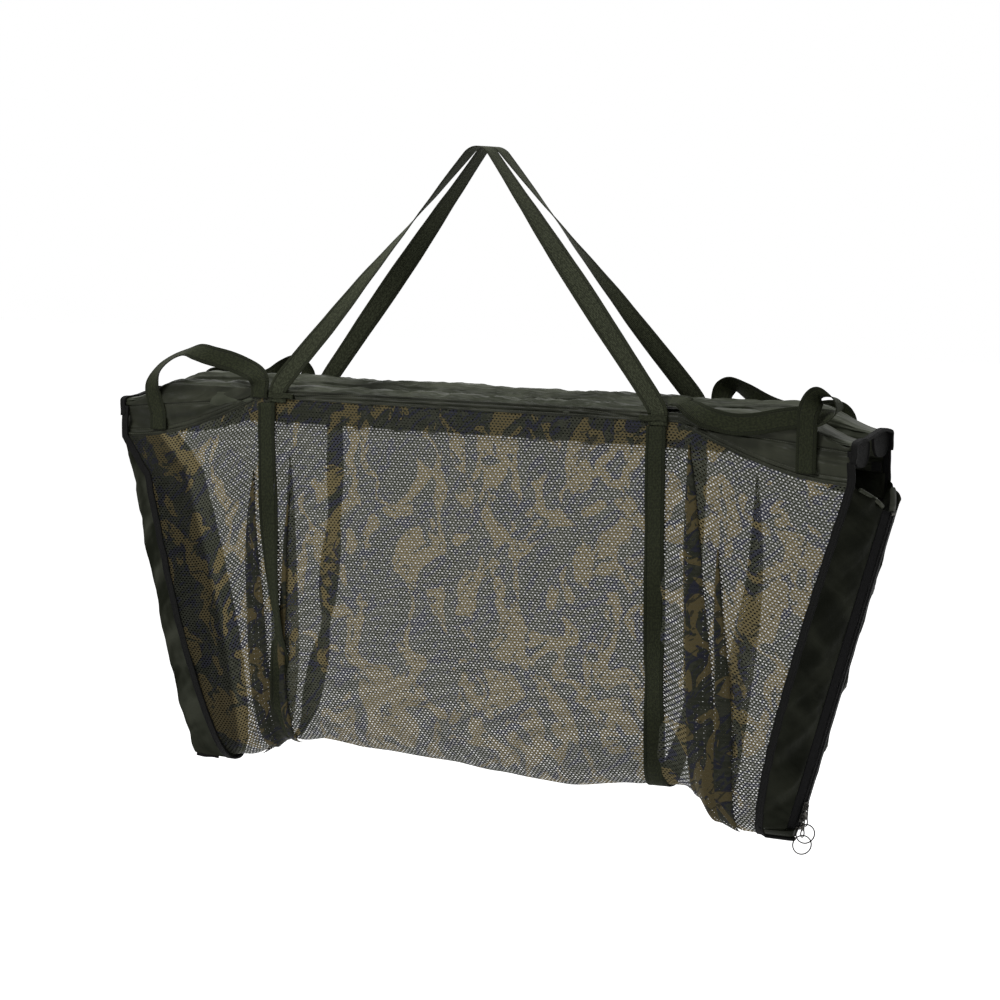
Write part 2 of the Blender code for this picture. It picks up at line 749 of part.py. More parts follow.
def make_loop(name, side):
    """Weigh loop: flat on the band at its base, its outer face turned up over the hook."""
    right = loop_route()
    route = right + [Vector((-p.x, p.y)) for p in reversed(right[:-1])]
    lengths = [0.0]
    for before, after in zip(right, right[1:]):
        lengths.append(lengths[-1] + (after - before).length)
    last = len(route) - 1

    def place(k):
        p = route[k]
        share = max((p.y - LEAN_Z) / -LEAN_Z, 0.0)
        return Vector((p.x, side * mix(WEB_Y, LOOP_SIDE, share), p.y))

    def point(across, k):
        along = (place(min(k + 1, last)) - place(max(k - 1, 0))).normalized()
        outward = Vector((0, side, 0))
        outward = (outward - along * outward.dot(along)).normalized()
        upward = along.cross(outward)
        if upward.dot(Vector((route[k].x, 0, LOOP_APEX_RADIUS))) < 0:
            upward.negate()
        gone = lengths[min(k, last - k)]
        turn = math.pi / 2 * smooth((gone - LOOP_BEND) / (lengths[-1] - LOOP_BEND))
        face = outward * math.cos(turn) + upward * math.sin(turn)
        return place(k) + along.cross(face) * across
    sheet(name, point, [-STRAP_WIDTH / 2, STRAP_WIDTH / 2], range(last + 1), WEBBING, WEB,
          Vector((0, side * LOOP_PIVOT_Y, HINGE_Z)))


make_loop("front_weigh_loop", -1)
make_loop("back_weigh_loop", 1)


def plate(name, size, location, material):
    keep(box(name, size, location), name, material)


TACK_Y = BAND_FACE + TACK_THICKNESS / 2     # tacks hold the bases of the loops on the band
for side_y, y_word in ((-1, "front"), (1, "back")):
    for side_x, x_word in ((-1, "left"), (1, "right")):
        shift = (TACK_LENGTH - STRAP_WIDTH) / 2
        plate("%s_%s_loop_tack" % (y_word, x_word), (TACK_LENGTH, TACK_THICKNESS, TACK_HEIGHT),
              (side_x * (BELT_X - shift), side_y * TACK_Y, TACK_Z + TACK_HEIGHT / 2), WEB)

# Rows of the carry handles: along from the outer to the inner end, rise, reach over the
# sleeve and turn of the webbing, as shares of their named sizes
FRONT_LEFT_SHARES = [
    (0.00, 0.00, 0.00, 0.00), (-0.04, 0.29, -0.05, 0.00), (-0.04, 0.51, -0.25, 0.15),
    (0.01, 0.74, -0.10, 0.50), (0.12, 0.89, 0.10, 0.70), (0.27, 0.96, 0.20, 0.75),
    (0.38, 0.92, 0.25, 0.40), (0.51, 0.82, 0.25, 0.12), (0.70, 0.68, 0.20, 0.10),
    (0.85, 0.53, 0.18, 0.25), (0.95, 0.41, 0.12, 0.40), (1.00, 0.27, 0.04, 0.20),
    (1.00, 0.13, 0.00, 0.00), (1.00, 0.00, 0.00, 0.00),
]
FRONT_RIGHT_SHARES = [
    (0.00, 0.00, 0.00, 0.00), (-0.01, 0.36, -0.20, 0.00), (-0.03, 0.66, -0.45, 0.10),
    (-0.09, 0.94, -0.10, 0.60), (-0.20, 0.90, 0.30, 0.90), (-0.22, 0.74, 0.35, 0.90),
    (-0.10, 0.60, 0.15, 0.45), (0.05, 0.53, 0.00, 0.08), (0.22, 0.41, -0.05, 0.00),
    (0.38, 0.28, -0.05, 0.00), (0.54, 0.19, -0.05, 0.00), (0.68, 0.17, -0.05, 0.00),
    (0.81, 0.18, -0.05, 0.00), (0.91, 0.22, -0.03, 0.00), (0.98, 0.28, 0.00, 0.00),
]
BACK_SHARES = [
    (0.00, 0.00, 0.00, 0.00), (-0.01, 0.24, -0.12, 0.00), (-0.01, 0.42, -0.30, 0.10),
    (0.03, 0.54, -0.45, 0.30), (0.10, 0.55, -0.45, 0.35), (0.19, 0.48, -0.35, 0.20),
    (0.32, 0.38, -0.20, 0.08), (0.48, 0.33, -0.15, 0.00), (0.64, 0.37, -0.15, 0.05),
    (0.79, 0.50, -0.10, 0.35), (0.90, 0.56, -0.05, 0.50), (0.97, 0.46, -0.05, 0.30),
    (1.00, 0.32, -0.08, 0.08), (1.00, 0.16, -0.04, 0.00), (1.00, 0.00, 0.00, 0.00),
]
HANDLE_STEPS = 4
HANDLE_OUTER_X = BODY_HALF - HANDLE_INSET
HANDLE_INNER_X = BELT_X + HANDLE_FROM_BELT
HANDLE_OUTER_Z = hem_z(HANDLE_OUTER_X) + HANDLE_OUTER_LIFT
HANDLE_INNER_Z = hem_z(HANDLE_INNER_X) + HANDLE_INNER_LIFT
HANDLE_SLOPE = (HANDLE_INNER_Z - HANDLE_OUTER_Z) / (HANDLE_OUTER_X - HANDLE_INNER_X)
HANDLE_AXIS_Z = HANDLE_OUTER_Z - HANDLE_SLOPE * STRAP_WIDTH / 2 - AXIS_DROP
HANDLE_PIVOT_Y = BAND_FACE + WEBBING + GAP


def between(rows, step):
    """Rows of shares joined by a smooth curve (Catmull-Rom), step pieces to a row."""
    made = []
    for k in range(len(rows) - 1):
        a, b, c, d = (Vector(rows[min(max(k + n, 0), len(rows) - 1)]) for n in (-1, 0, 1, 2))
        for n in range(step):
            t = n / step
            made.append(0.5 * (2 * b + (c - a) * t + (2 * a - 5 * b + 4 * c - d) * t * t
                               + (3 * b - a - 3 * c + d) * t * t * t))
    made.append(Vector(rows[-1]))
    return made


def make_handle(name, side_x, side_y, rows):
    """Webbing carry handle sewn at its two ends to the band, resting on its sleeve."""
    shares = between(rows, HANDLE_STEPS)
    outer = Vector((side_x * HANDLE_OUTER_X, side_y * WEB_Y, HANDLE_OUTER_Z))
    inner = Vector((side_x * HANDLE_INNER_X, side_y * WEB_Y, HANDLE_INNER_Z))
    route = []
    for along, rise, reach, turn in shares:
        place = outer.lerp(inner, along)
        place += Vector((0, -side_y * HANDLE_REACH * reach, HANDLE_RISE * rise))
        route.append(place)
    last = len(route) - 1
    cross = Vector((0, 1, 0))

    def point(across, k):
        along = (route[min(k + 1, last)] - route[max(k - 1, 0)]).normalized()
        if k == 0:
            along = Vector((0, 0, 1))
        flat = along.cross(cross).normalized()
        turn = math.pi / 2 * shares[k][3]
        side = along.cross(flat).normalized()
        width = flat * math.cos(turn) + side * math.sin(turn) * -side_x * side_y
        return route[k] + width * across
    sheet(name, point, [-STRAP_WIDTH / 2, STRAP_WIDTH / 2], range(last + 1), WEBBING, WEB,
          Vector((side_x * HANDLE_OUTER_X, side_y * HANDLE_PIVOT_Y, HANDLE_AXIS_Z)), twisted=True)


make_handle("front_left_handle", -1, -1, FRONT_LEFT_SHARES)
make_handle("front_right_handle", 1, -1, FRONT_RIGHT_SHARES)
make_handle("back_left_handle", -1, 1, BACK_SHARES)
make_handle("back_right_handle", 1, 1, BACK_SHARES)


for side_y, y_word in ((-1, "front"), (1, "back")):
    for side_x, x_word in ((-1, "left"), (1, "right")):
        patch_z = HANDLE_OUTER_Z - PATCH_GAP - PATCH_HEIGHT / 2
        plate("%s_%s_handle_patch" % (y_word, x_word), (STRAP_WIDTH, WEBBING, PATCH_HEIGHT),
              (side_x * HANDLE_OUTER_X, side_y * WEB_Y, patch_z), WEB)

# A bare label inside the zipped end and the tongue that covers the zip's top
LABEL_Y = TOP_HALF - CLOTH / 2 - GAP - CLOTH / 2
plate("bare_label", (LABEL_WIDTH, CLOTH, LABEL_HEIGHT),
      (BODY_HALF - LABEL_WIDTH, LABEL_Y, LABEL_Z), LABEL)


def tongue_point(share, along):
    """Tongue: a doubled flap of nylon on the outside of the zip's top."""
    z = ZIP_TOP_Z + GAP + TONGUE_LENGTH * along
    return crest_point(z, 0.0, TONGUE_WIDTH * share)


TONGUE_SHARES = [-0.5, 0.0, 0.5]
sheet("zip_tongue", tongue_point, TONGUE_SHARES, spread(0.0, 1.0, 2), TONGUE_THICKNESS, NYLON)
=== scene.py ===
"""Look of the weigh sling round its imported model.

Every cloth, strap and binding is a surface of two parameters worked out with numpy: a grid of
points over the trough's own sections, or a profile carried along a path. Lengths are metres.
"""
import math

import bpy
import numpy as np
from mathutils import Matrix, Vector


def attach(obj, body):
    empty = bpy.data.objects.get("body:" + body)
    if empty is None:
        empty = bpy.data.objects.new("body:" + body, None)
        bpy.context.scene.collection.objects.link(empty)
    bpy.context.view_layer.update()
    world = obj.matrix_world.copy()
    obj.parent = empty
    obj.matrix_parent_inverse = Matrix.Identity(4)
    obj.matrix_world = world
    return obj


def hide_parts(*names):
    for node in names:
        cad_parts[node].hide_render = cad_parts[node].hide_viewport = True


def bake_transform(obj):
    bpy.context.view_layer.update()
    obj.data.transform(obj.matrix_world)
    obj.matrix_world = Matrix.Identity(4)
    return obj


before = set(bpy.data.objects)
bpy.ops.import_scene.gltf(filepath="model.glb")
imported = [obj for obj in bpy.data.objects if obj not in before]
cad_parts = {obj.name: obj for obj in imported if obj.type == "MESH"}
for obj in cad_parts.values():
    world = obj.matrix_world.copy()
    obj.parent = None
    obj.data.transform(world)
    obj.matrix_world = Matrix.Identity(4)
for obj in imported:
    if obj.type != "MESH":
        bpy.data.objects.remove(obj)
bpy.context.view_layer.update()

# Sizes shared with the model
BODY_HALF, HOOK_TO_HEM = 0.600, 0.372
CLOTH, WEBBING, STRAP_WIDTH, GAP = 0.0012, 0.0016, 0.030, 0.0003
MOUTH, SLEEVE_DEPTH, SLEEVE_HEIGHT, SLEEVE_HALF = 0.012, 0.054, 0.060, 0.604
SLEEVE_ROUND = 2.6
HEM_LEVEL_HALF, HEM_DROP, BAND_TOP_Z = 0.345, 0.070, -0.362
TOP_HALF = MOUTH / 2 + SLEEVE_DEPTH + GAP + CLOTH / 2
BELLY, SLANT, BELT_X = 0.018, 0.28, 0.315
END_HEM_Z, END_LOW_Z = -0.442, -0.934
BINDING_WIDTH, BINDING, BULGE, BULGE_POWER, TOP_DIP = 0.010, 0.0024, 0.040, 1.4, 0.030
CREST_X = BODY_HALF + BINDING_WIDTH / 2 + BULGE
BAND_FACE = TOP_HALF + CLOTH / 2 + GAP
WEB_Y = BAND_FACE + WEBBING / 2
TACK_Z, TACK_HEIGHT, TACK_LENGTH = -0.3705, 0.007, 0.043
HINGE_Z = TACK_Z + TACK_HEIGHT + GAP
ZIP_TOP_Z, ZIP_BOTTOM_Z, SLOT_HALF = -0.478, -0.9225, 0.0015
TAPE_WIDTH, TAPE_FLAT, TAPE_FOLD = 0.0140, 0.0045, 0.005
COIL_WIDTH, COIL_HEIGHT = 0.0028, 0.0020
ZIP_TILT, ZIP_TURN = math.atan(SLANT), math.radians(15)
FRONT, BACK, LEFT, RIGHT = -1, 1, -1, 1
SIDES = ((FRONT, "front"), (BACK, "back"))
ENDS = ((LEFT, "left"), (RIGHT, "right"))

# Looks
SEAM_FROM, SEAM_SLOPE = -0.3416, 0.094   # sleeve's seam on the band: height at the middle and slope
HOLE_ACROSS, HOLE_DOWN = 0.0060, 0.0037   # spacing of the holes and of their rows
HOLE_HALF_ACROSS, HOLE_HALF_DOWN = 0.00182, 0.00106
STITCH, STITCH_SHARE = 0.0034, 0.72   # pitch of the sewn rows and the thread's share of it
SELVAGE = 0.69          # where webbing's smooth edge begins, as a share of its half width
NYLON_WALL = 0.0009
BAND_LAP = 0.004        # how far a band reaches up beside its sleeve
BAND_CREASE, SEAM_DEPTH, SEAM_SPREAD = 0.0040, 0.0014, 0.0025
SLEEVE_CREASE, SLEEVE_SAG, SLEEVE_GATHER = 0.0034, 0.0012, 0.0005
LEFT_CREASES, RIGHT_CREASES = (0.0034, 0.0014), (0.0055, 0.0016)   # long ones and fine ones
RIM_WIDTH, RIM_THICKNESS = 0.0085, 0.0044
HEM_RADIUS, PIPING_RADIUS, FIN_WIDTH = 0.0028, 0.0030, 0.0060
TONGUE_HALF, TONGUE_LENGTH, TONGUE_CURL = 0.006, 0.0295, 0.010
SLEEVE_Z = {FRONT: -0.380, BACK: -0.370}
SLEEVE_Y = MOUTH / 2 + SLEEVE_DEPTH / 2
LEFT_TUCK = 0.030       # how far the left end's cloth is drawn in from its corners
END_DROP = 0.034        # how far the corners of the top hang down
PLEAT_LIFT = 0.0016
PANEL_INSET = 0.0025    # the end cloth starts inside the folded binding
FOOT_POWER = 5.4        # how boxy the closed foot of the right end is
FACING_INSET, FACING_LENGTH = 0.0015, 0.0835
RING_WIRE, RING_WIDTH = 0.0006, 0.0017
SKY_LIGHT, FLOOR_GLOW = 0.16, 0.88
LAMPS = (("key", (-1.5, -2.1, 2.4), 1.0, 100.0), ("top", (0.2, 0.6, 3.0), 1.0, 50.0))
AZIMUTH, ELEVATION, ROLL = math.radians(30.31), math.radians(5.97), math.radians(-1.02)
LOOK_AT, DISTANCE, LENS = (0.03185, 0.0, -0.50349), 3.90845, 97.78


# Shader maths
class Field:
    """A socket that varies over a surface. Its operators add Math nodes to the finish it is of."""

    def __init__(self, finish, socket):
        self.finish = finish
        self.socket = socket

    def maths(self, operation, *values):
        return self.finish.node("ShaderNodeMath", {"operation": operation},
                                dict(enumerate(values)))

    def __add__(self, other):
        return self.maths("ADD", self, other)

    def __sub__(self, other):
        return self.maths("SUBTRACT", self, other)

    def __rsub__(self, other):
        return self.maths("SUBTRACT", other, self)

    def __mul__(self, other):
        return self.maths("MULTIPLY", self, other)

    def __truediv__(self, other):
        return self.maths("DIVIDE", self, other)

    def __rtruediv__(self, other):
        return self.maths("DIVIDE", other, self)

    def __gt__(self, other):
        return self.maths("GREATER_THAN", self, other)

    def __lt__(self, other):
        return self.maths("LESS_THAN", self, other)

    def __abs__(self):
        return self.maths("ABSOLUTE", self)

    __radd__ = __add__
    __rmul__ = __mul__

    def floor(self):
        return self.maths("FLOOR", self)

    def fract(self):
        return self.maths("FRACT", self)

    def wave(self):
        """Sine of the field taken as turns, from 0 to 1 and back."""
        return self.maths("SINE", self * (2 * math.pi)) * 0.5 + 0.5

    def ramp(self, low, high):
        """0 below low, 1 above high, smooth between."""
        return self.finish.node("ShaderNodeMapRange", {"interpolation_type": "SMOOTHSTEP"},
                                {"Value": self, "From Min": low, "From Max": high})


class Finish:
    """A material with its slot, or the sky. node() adds a node, feed() gives the shader a field."""

    def __init__(self, name, slot=None, world=None, **uniform):
        self.slot = slot
        self.made = world or bpy.data.materials.new(name)
        self.made.use_nodes = True
        self.tree = self.made.node_tree
        self.shader = self.tree.nodes["Background" if world else "Principled BSDF"]
        for socket, value in uniform.items():
            self.shader.inputs[socket.replace("_", " ")].default_value = value

    def node(self, kind, settings=None, values=None, output=0):
        made = self.tree.nodes.new(kind)
        for name, value in (settings or {}).items():
            setattr(made, name, value)
        for key, value in (values or {}).items():
            if isinstance(value, Field):
                self.tree.links.new(value.socket, made.inputs[key])
            else:
                made.inputs[key].default_value = value
        return Field(self, made.outputs[output])

    def place(self):
        return self.node("ShaderNodeTexCoord", output="Object")

    def split(self, where):
        """The three fields of a vector."""
        parts = self.node("ShaderNodeSeparateXYZ", None, {0: where}).socket.node.outputs
        return [Field(self, part) for part in parts]

    def cloth(self):
        """Two fields: metres across and along the cloth, from the piece's own map."""
        return self.split(self.node("ShaderNodeUVMap", {"uv_map": "cloth"}))[:2]

    def point(self, x, y, z=0.0):
        return self.node("ShaderNodeCombineXYZ", None, {0: x, 1: y, 2: z})

    def noise(self, where, scale, detail=2.0, distortion=0.0, roughness=0.5):
        return self.node("ShaderNodeTexNoise", None,
                         {"Vector": where, "Scale": scale, "Detail": detail,
                          "Distortion": distortion, "Roughness": roughness})

    def mix(self, share, low, high):
        """Colour low where share is 0, high where it is 1: fields or 8-bit screen colours."""
        low, high = (end if isinstance(end, Field) else linear(end) for end in (low, high))
        return self.node("ShaderNodeMix", {"data_type": "RGBA"}, {0: share, 6: low, 7: high}, 2)

    def feed(self, socket, field):
        self.tree.links.new(field.socket, self.shader.inputs[socket])

    def bump(self, height, depth, strength=1.0):
        """Surface relief: height 0 to 1 stands for depth metres."""
        self.feed("Normal", self.node("ShaderNodeBump", None,
                                      {"Height": height, "Distance": depth, "Strength": strength}))


def linear(screen):
    """Opaque linear colour of an 8-bit screen colour."""
    shares = np.array(screen) / 255
    made = np.where(shares <= 0.04045, shares / 12.92, ((shares + 0.055) / 1.055) ** 2.4)
    return (*made.tolist(), 1.0)


OLIVE, DARK_OLIVE, DUSK, BLOTCH_RIM = (70, 72, 60), (57, 60, 48), (51, 53, 67), (48, 49, 62)
TAN, DARK_TAN = (118, 106, 72), (70, 67, 51)
# LIT_YARN is a painted highlight and the third colour a painted shade; THREAD is the thread's own
# colour
LIT_YARN, THREAD, GROOVE_SHADE = (150, 150, 143), (74, 76, 62), (20, 22, 16)


def nylon_finish(name, base, light, rows=(), pull=0.0, level=None, gloss=0.10):
    """Satin nylon: long creases along pull radians with a painted highlight on their crests, fine
    puckers, sewn rows and a sloping seam.
    """
    f = Finish(name, "nylon", Specular_IOR_Level=gloss)
    u, v = f.cloth()
    clouds = f.noise(f.place(), 22.0, 3.0)
    along = u * math.cos(pull) + v * math.sin(pull)
    square = v * math.cos(pull) - u * math.sin(pull)
    long_way = f.noise(f.point(along * 7.0, square * 34.0, 1.3), 1.0, 2.0, 0.6)
    puckers = f.noise(f.point(along * 26.0, square * 80.0, 4.1), 1.0, 3.0, 0.8)
    # Painted highlight: the crests of the long creases take the light colour; the clouds are random
    # tone
    shade = f.mix((clouds * 0.35 + long_way * 0.65).ramp(0.40, 0.66), base, light)
    relief = long_way * 1.3 + puckers * 0.30 + f.noise(f.place(), 260.0, 2.0) * 0.04
    sewn = [(v - row, 0.00045, THREAD, 0.0025, 0.20) for row in rows]
    if level is not None:
        height = f.split(f.place())[2] + abs(u) * level - SEAM_FROM
        sewn.insert(0, (height, 0.0005, OLIVE, 0.0030, 0.35))
    for distance, half, pale, groove, deep in sewn:
        thread = (abs(distance) < half) * ((u / STITCH).fract() < STITCH_SHARE)
        shade = f.mix(thread * 0.6, shade, pale)
        relief = relief + thread * 0.12 - (abs(distance) / groove).ramp(1.0, 0.0) * deep
    f.feed("Base Color", shade)
    f.feed("Roughness", clouds * 0.14 + 0.38)
    f.bump(relief, 0.0055)
    return f


def camo(f, u, v):
    """Generic leafy camouflage on cloth coordinates: tan blotches, dusky streaks, olive ground."""
    warp = f.noise(f.point(u, v, 0.7), 14.0, 1.0)
    across = u + warp * 0.070
    down = v - warp * 0.050
    blotch = f.noise(f.point(across * 1.5, down * 0.95, 3.1), 14.0, 1.5, 1.3)
    leaf = f.noise(f.point(across * 1.1 + down * 0.9, down * 1.3 - across * 0.8, 8.4),
                   18.0, 2.0, 1.8)
    streak = f.noise(f.point(across * 0.7 - down * 0.9, down * 2.2 + across * 1.9, 5.2),
                     19.0, 1.5, 2.4)
    ground = f.mix(leaf.ramp(0.50, 0.51), OLIVE, DARK_OLIVE)
    ground = f.mix(streak.ramp(0.56, 0.57), ground, DUSK)
    tan = blotch.ramp(0.520, 0.530) * (1 - leaf.ramp(0.595, 0.605))
    rim = blotch.ramp(0.500, 0.508) * (1 - blotch.ramp(0.520, 0.530)) * streak.ramp(0.46, 0.47)
    shade = f.mix(tan, f.mix(rim, ground, BLOTCH_RIM), TAN)
    return f.mix(tan * streak.ramp(0.615, 0.625), shade, DARK_TAN)


def mesh_finish(name, open_share=1.0, dark=0.33, clear=1.0, solid=1.0):
    """Knitted mesh: staggered oval holes cut through by alpha, camouflage printed on the yarn.

    The yarn is drawn pale near its holes, a painted highlight of light coming through it, and
    falls to the dark share of that, a painted shade, where the shade attribute tells of cloth
    close behind. clear is how open the holes are and solid how dense the yarn is.
    """
    f = Finish(name, "camo_mesh", Roughness=0.60, Specular_IOR_Level=0.05)
    u, v = f.cloth()
    row = v / HOLE_DOWN
    across = (u / HOLE_ACROSS + (row.floor() * 0.5)).fract() - 0.5
    down = row.fract() - 0.5
    x = across * (HOLE_ACROSS / HOLE_HALF_ACROSS)
    y = down * (HOLE_DOWN / HOLE_HALF_DOWN)
    gone = x * x + y * y
    f.feed("Alpha", gone.ramp(0.95 * open_share, 1.05 * open_share) * (solid + clear - 1)
           + (1 - clear))
    # Painted highlight: the yarn paler near its holes; painted shade: darker where cloth stands
    # close behind
    lit = (row * 0.5).wave() * 0.05 + gone.ramp(3.2, 1.0) * 0.08 * open_share
    shade_behind = f.node("ShaderNodeAttribute", {"attribute_name": "shade_behind"}, output="Fac")
    shade = f.mix(lit, camo(f, u, v), LIT_YARN)
    value = 1 - shade_behind * (1 - dark)
    f.feed("Base Color", f.node("ShaderNodeHueSaturation", None, {"Value": value, "Color": shade}))
    return f


def web_finish(name, base, light):
    """Webbing: crosswise ribs, a raised plain middle between two smooth selvages."""
    f = Finish(name, "webbing", Specular_IOR_Level=0.10)
    u, v = f.cloth()
    near = abs(u) / (STRAP_WIDTH / 2)
    middle = 1 - near.ramp(SELVAGE - 0.03, SELVAGE + 0.03)
    ribs = (v / 0.0021).wave()
    cells = f.noise(f.point(u * 1.0, v * 0.55, 0.0), 420.0, 2.0)
    fleck = f.noise(f.point(u * 0.6, v * 1.4, 2.0), 260.0, 3.0)
    selvage = ((v + abs(u)) / 0.0026).wave()
    relief = ribs * 0.35 + cells * middle * 0.9 + selvage * (1 - middle) * 0.4
    relief = relief - (abs(near - SELVAGE) / 0.06).ramp(1.0, 0.0) * 0.7
    shade = f.mix(cells.ramp(0.42, 0.60) * middle * 0.75 + fleck * 0.25, base, light)
    # Painted shade darkens the groove where the raised middle meets each selvage
    shade = f.mix((abs(near - SELVAGE) / 0.05).ramp(1.0, 0.0) * 0.6, shade, GROOVE_SHADE)
    f.feed("Base Color", shade)
    f.feed("Roughness", cells * 0.2 + 0.6)
    f.bump(relief, 0.0009)
    return f


def trim_finish(name, base, light, rough=0.62, pitch=0.0016):
    """Black binding or tape: herringbone twill, drawn a little lighter on the raised yarns and in a
    fine fuzz.
    """
    f = Finish(name, "black_trim", Specular_IOR_Level=0.10)
    u, v = f.cloth()
    zig = (abs((u / 0.0044).fract() - 0.5) * 2.2 + v / pitch).wave()
    fuzz = f.noise(f.place(), 180.0, 3.0)
    f.feed("Base Color", f.mix(fuzz * 0.5 + zig * 0.35, base, light))
    f.feed("Roughness", fuzz * 0.2 + rough)
    f.bump(zig * 0.6 + fuzz, 0.0005)
    return f


def metal_finish(name, slot, base, light, rough):
    """Polished metal with fine rubbing marks and slightly brighter worn spots."""
    f = Finish(name, slot, Metallic=1.0)
    where = f.place()
    worn = f.noise(where, 340.0, 3.0)
    f.feed("Base Color", f.mix(worn.ramp(0.40, 0.66), base, light))
    f.feed("Roughness", worn * 0.22 + rough)
    f.bump(f.noise(where, 900.0, 2.0), 0.0001, 0.5)
    return f


# Lit and shaded copies of one olive nylon, painted light and shade: the sleeves lightest, the bands
# darker, the gussets darkest, the left one a little lighter than the right
SLEEVE_NYLON = nylon_finish("sleeve_nylon", (46, 49, 38), (72, 75, 63))
BAND_NYLON = nylon_finish("band_nylon", (34, 36, 27), (56, 58, 47), (0.0035, 0.0100),
                          level=SEAM_SLOPE)
GUSSET_NYLON = nylon_finish("gusset_nylon", (24, 26, 19), (48, 50, 41), pull=0.9,
                            gloss=0.03)
SIDE_NYLON = nylon_finish("left_gusset_nylon", (32, 34, 27), (64, 66, 57), pull=0.9,
                          gloss=0.0)
TONGUE_NYLON = nylon_finish("tongue_nylon", (62, 65, 54), (74, 76, 64))
CAMO_MESH = mesh_finish("camo_mesh_cloth")
FAR_MESH = mesh_finish("camo_mesh_back", clear=0.60, solid=0.80)
# The doubled mesh has smaller holes and is darkened all over by painted shade
PLEAT_MESH = mesh_finish("camo_mesh_doubled", 0.16, 0.46)
OLIVE_WEB = web_finish("olive_webbing", (27, 30, 18), (46, 50, 33))
# A lighter copy of the webbing for the weigh loops: painted light on their top-lit faces
LOOP_WEB = web_finish("loop_webbing", (38, 41, 28), (66, 70, 53))
BLACK_TRIM = trim_finish("black_binding", (9, 9, 9), (19, 19, 18))
ZIP_CLOTH = trim_finish("zip_tape_cloth", (10, 10, 11), (22, 22, 22), 0.58, 0.0022)
COIL_NYLON = trim_finish("zip_coil_nylon", (9, 9, 9), (20, 20, 20), 0.35, 0.0012)
TACK_WEB = web_finish("tack_webbing", (34, 37, 25), (54, 57, 42))
LABEL_CLOTH = trim_finish("label_satin", (24, 24, 24), (34, 34, 33), 0.5, 0.0010)
GUNMETAL = metal_finish("gunmetal_plate", "gunmetal", (34, 33, 31), (84, 82, 77),
                        0.24)
BRIGHT = metal_finish("bright_ring_steel", "bright_steel", (14, 14, 13), (40, 39, 37),
                      0.18)


# Surfaces
def grid(*values):
    """Points with these coordinates, each spread over the rows and columns of the others."""
    return np.stack(np.broadcast_arrays(*values), -1)


def skin(name, points, finish, body="sling", across=None, along=None, facing=None, wrap=False,
         wall=0.0, shade_behind=None):
    """Mesh of a grid of points[row, column]. across and along are cloth metres of each grid point.

    wrap joins the last column to the first and closes the first and last row by one face each.
    An open surface is turned to the side that facing points to, a closed one outwards.
    """
    a, b = points[1:, 1:] - points[:-1, :-1], points[1:, :-1] - points[:-1, 1:]
    tilt = np.cross(a, b)
    if wrap:
        volume = (tilt * (points[1:, 1:] + points[:-1, :-1]) / 4).sum()
        for ring, sign in ((points[-1], 1), (points[0], -1)):
            volume += sign / 2 * np.cross(ring[:-1], ring[1:]).sum(0) @ ring[:-1].mean(0)
        turned = volume < 0
    else:
        turned = (tilt * np.array(facing)).sum() < 0
    if turned:
        points = points[:, ::-1]
        across, along, shade_behind = (
            None if values is None else np.broadcast_to(values, points.shape[:2])[:, ::-1]
            for values in (across, along, shade_behind))
    rows, columns = points.shape[:2]
    kept = columns - 1 if wrap else columns
    index = np.arange(rows * kept).reshape(rows, kept)
    if wrap:
        index = np.concatenate([index, index[:, :1]], 1)
    corners = np.stack([index[:-1, :-1], index[:-1, 1:], index[1:, 1:], index[1:, :-1]], -1)
    corners = corners.reshape(-1, 4)
    starts = np.arange(len(corners)) * 4
    loops = corners.ravel()
    if wrap:
        ends = [index[0, :kept][::-1], index[-1, :kept]]
        starts = np.concatenate([starts, [len(loops), len(loops) + kept]])
        loops = np.concatenate([loops, *ends])
    mesh = bpy.data.meshes.new(name)
    flat = points[:, :kept].reshape(-1, 3)
    mesh.vertices.add(len(flat))
    mesh.vertices.foreach_set("co", flat.astype(np.float32).ravel())
    mesh.loops.add(len(loops))
    mesh.loops.foreach_set("vertex_index", loops.astype(np.int32))
    mesh.polygons.add(len(starts))
    mesh.polygons.foreach_set("loop_start", starts.astype(np.int32))
    mesh.polygons.foreach_set("use_smooth", np.full(len(starts), True))
    if across is not None:
        pairs = grid(across, along)
        held = np.stack([pairs[:-1, :-1], pairs[:-1, 1:], pairs[1:, 1:], pairs[1:, :-1]], 2)
        held = held.reshape(-1, 2)
        if wrap:
            held = np.concatenate([held, pairs[0, :kept][::-1], pairs[-1, :kept]])
        mesh.uv_layers.new(name="cloth").uv.foreach_set("vector", held.astype(np.float32).ravel())
    mesh.update(calc_edges=True)
    mesh.validate()
    if shade_behind is not None:
        held = mesh.attributes.new("shade_behind", "FLOAT", "POINT")
        held.data.foreach_set("value", shade_behind.astype(np.float32).ravel())
    mesh.materials.append(finish.made)
    made = bpy.data.objects.new(name, mesh)
    bpy.context.scene.collection.objects.link(made)
    if wall:
        thick = made.modifiers.new("wall", "SOLIDIFY")
        thick.thickness = wall
        thick.offset = 0.0
    if body:
        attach(made, body)
    return made


def lengths(points, axis=0):
    """Length run along an axis of a grid of points, from its first row or column."""
    steps = np.linalg.norm(np.diff(points, axis=axis), axis=-1)
    zero = np.zeros_like(np.take(steps, [0], axis))
    return np.concatenate([zero, np.cumsum(steps, axis)], axis)


def unit(vectors):
    return vectors / np.linalg.norm(vectors, axis=-1, keepdims=True)


def heading(path):
    """Direction of travel at each point of a path."""
    return unit(np.gradient(path, axis=0))


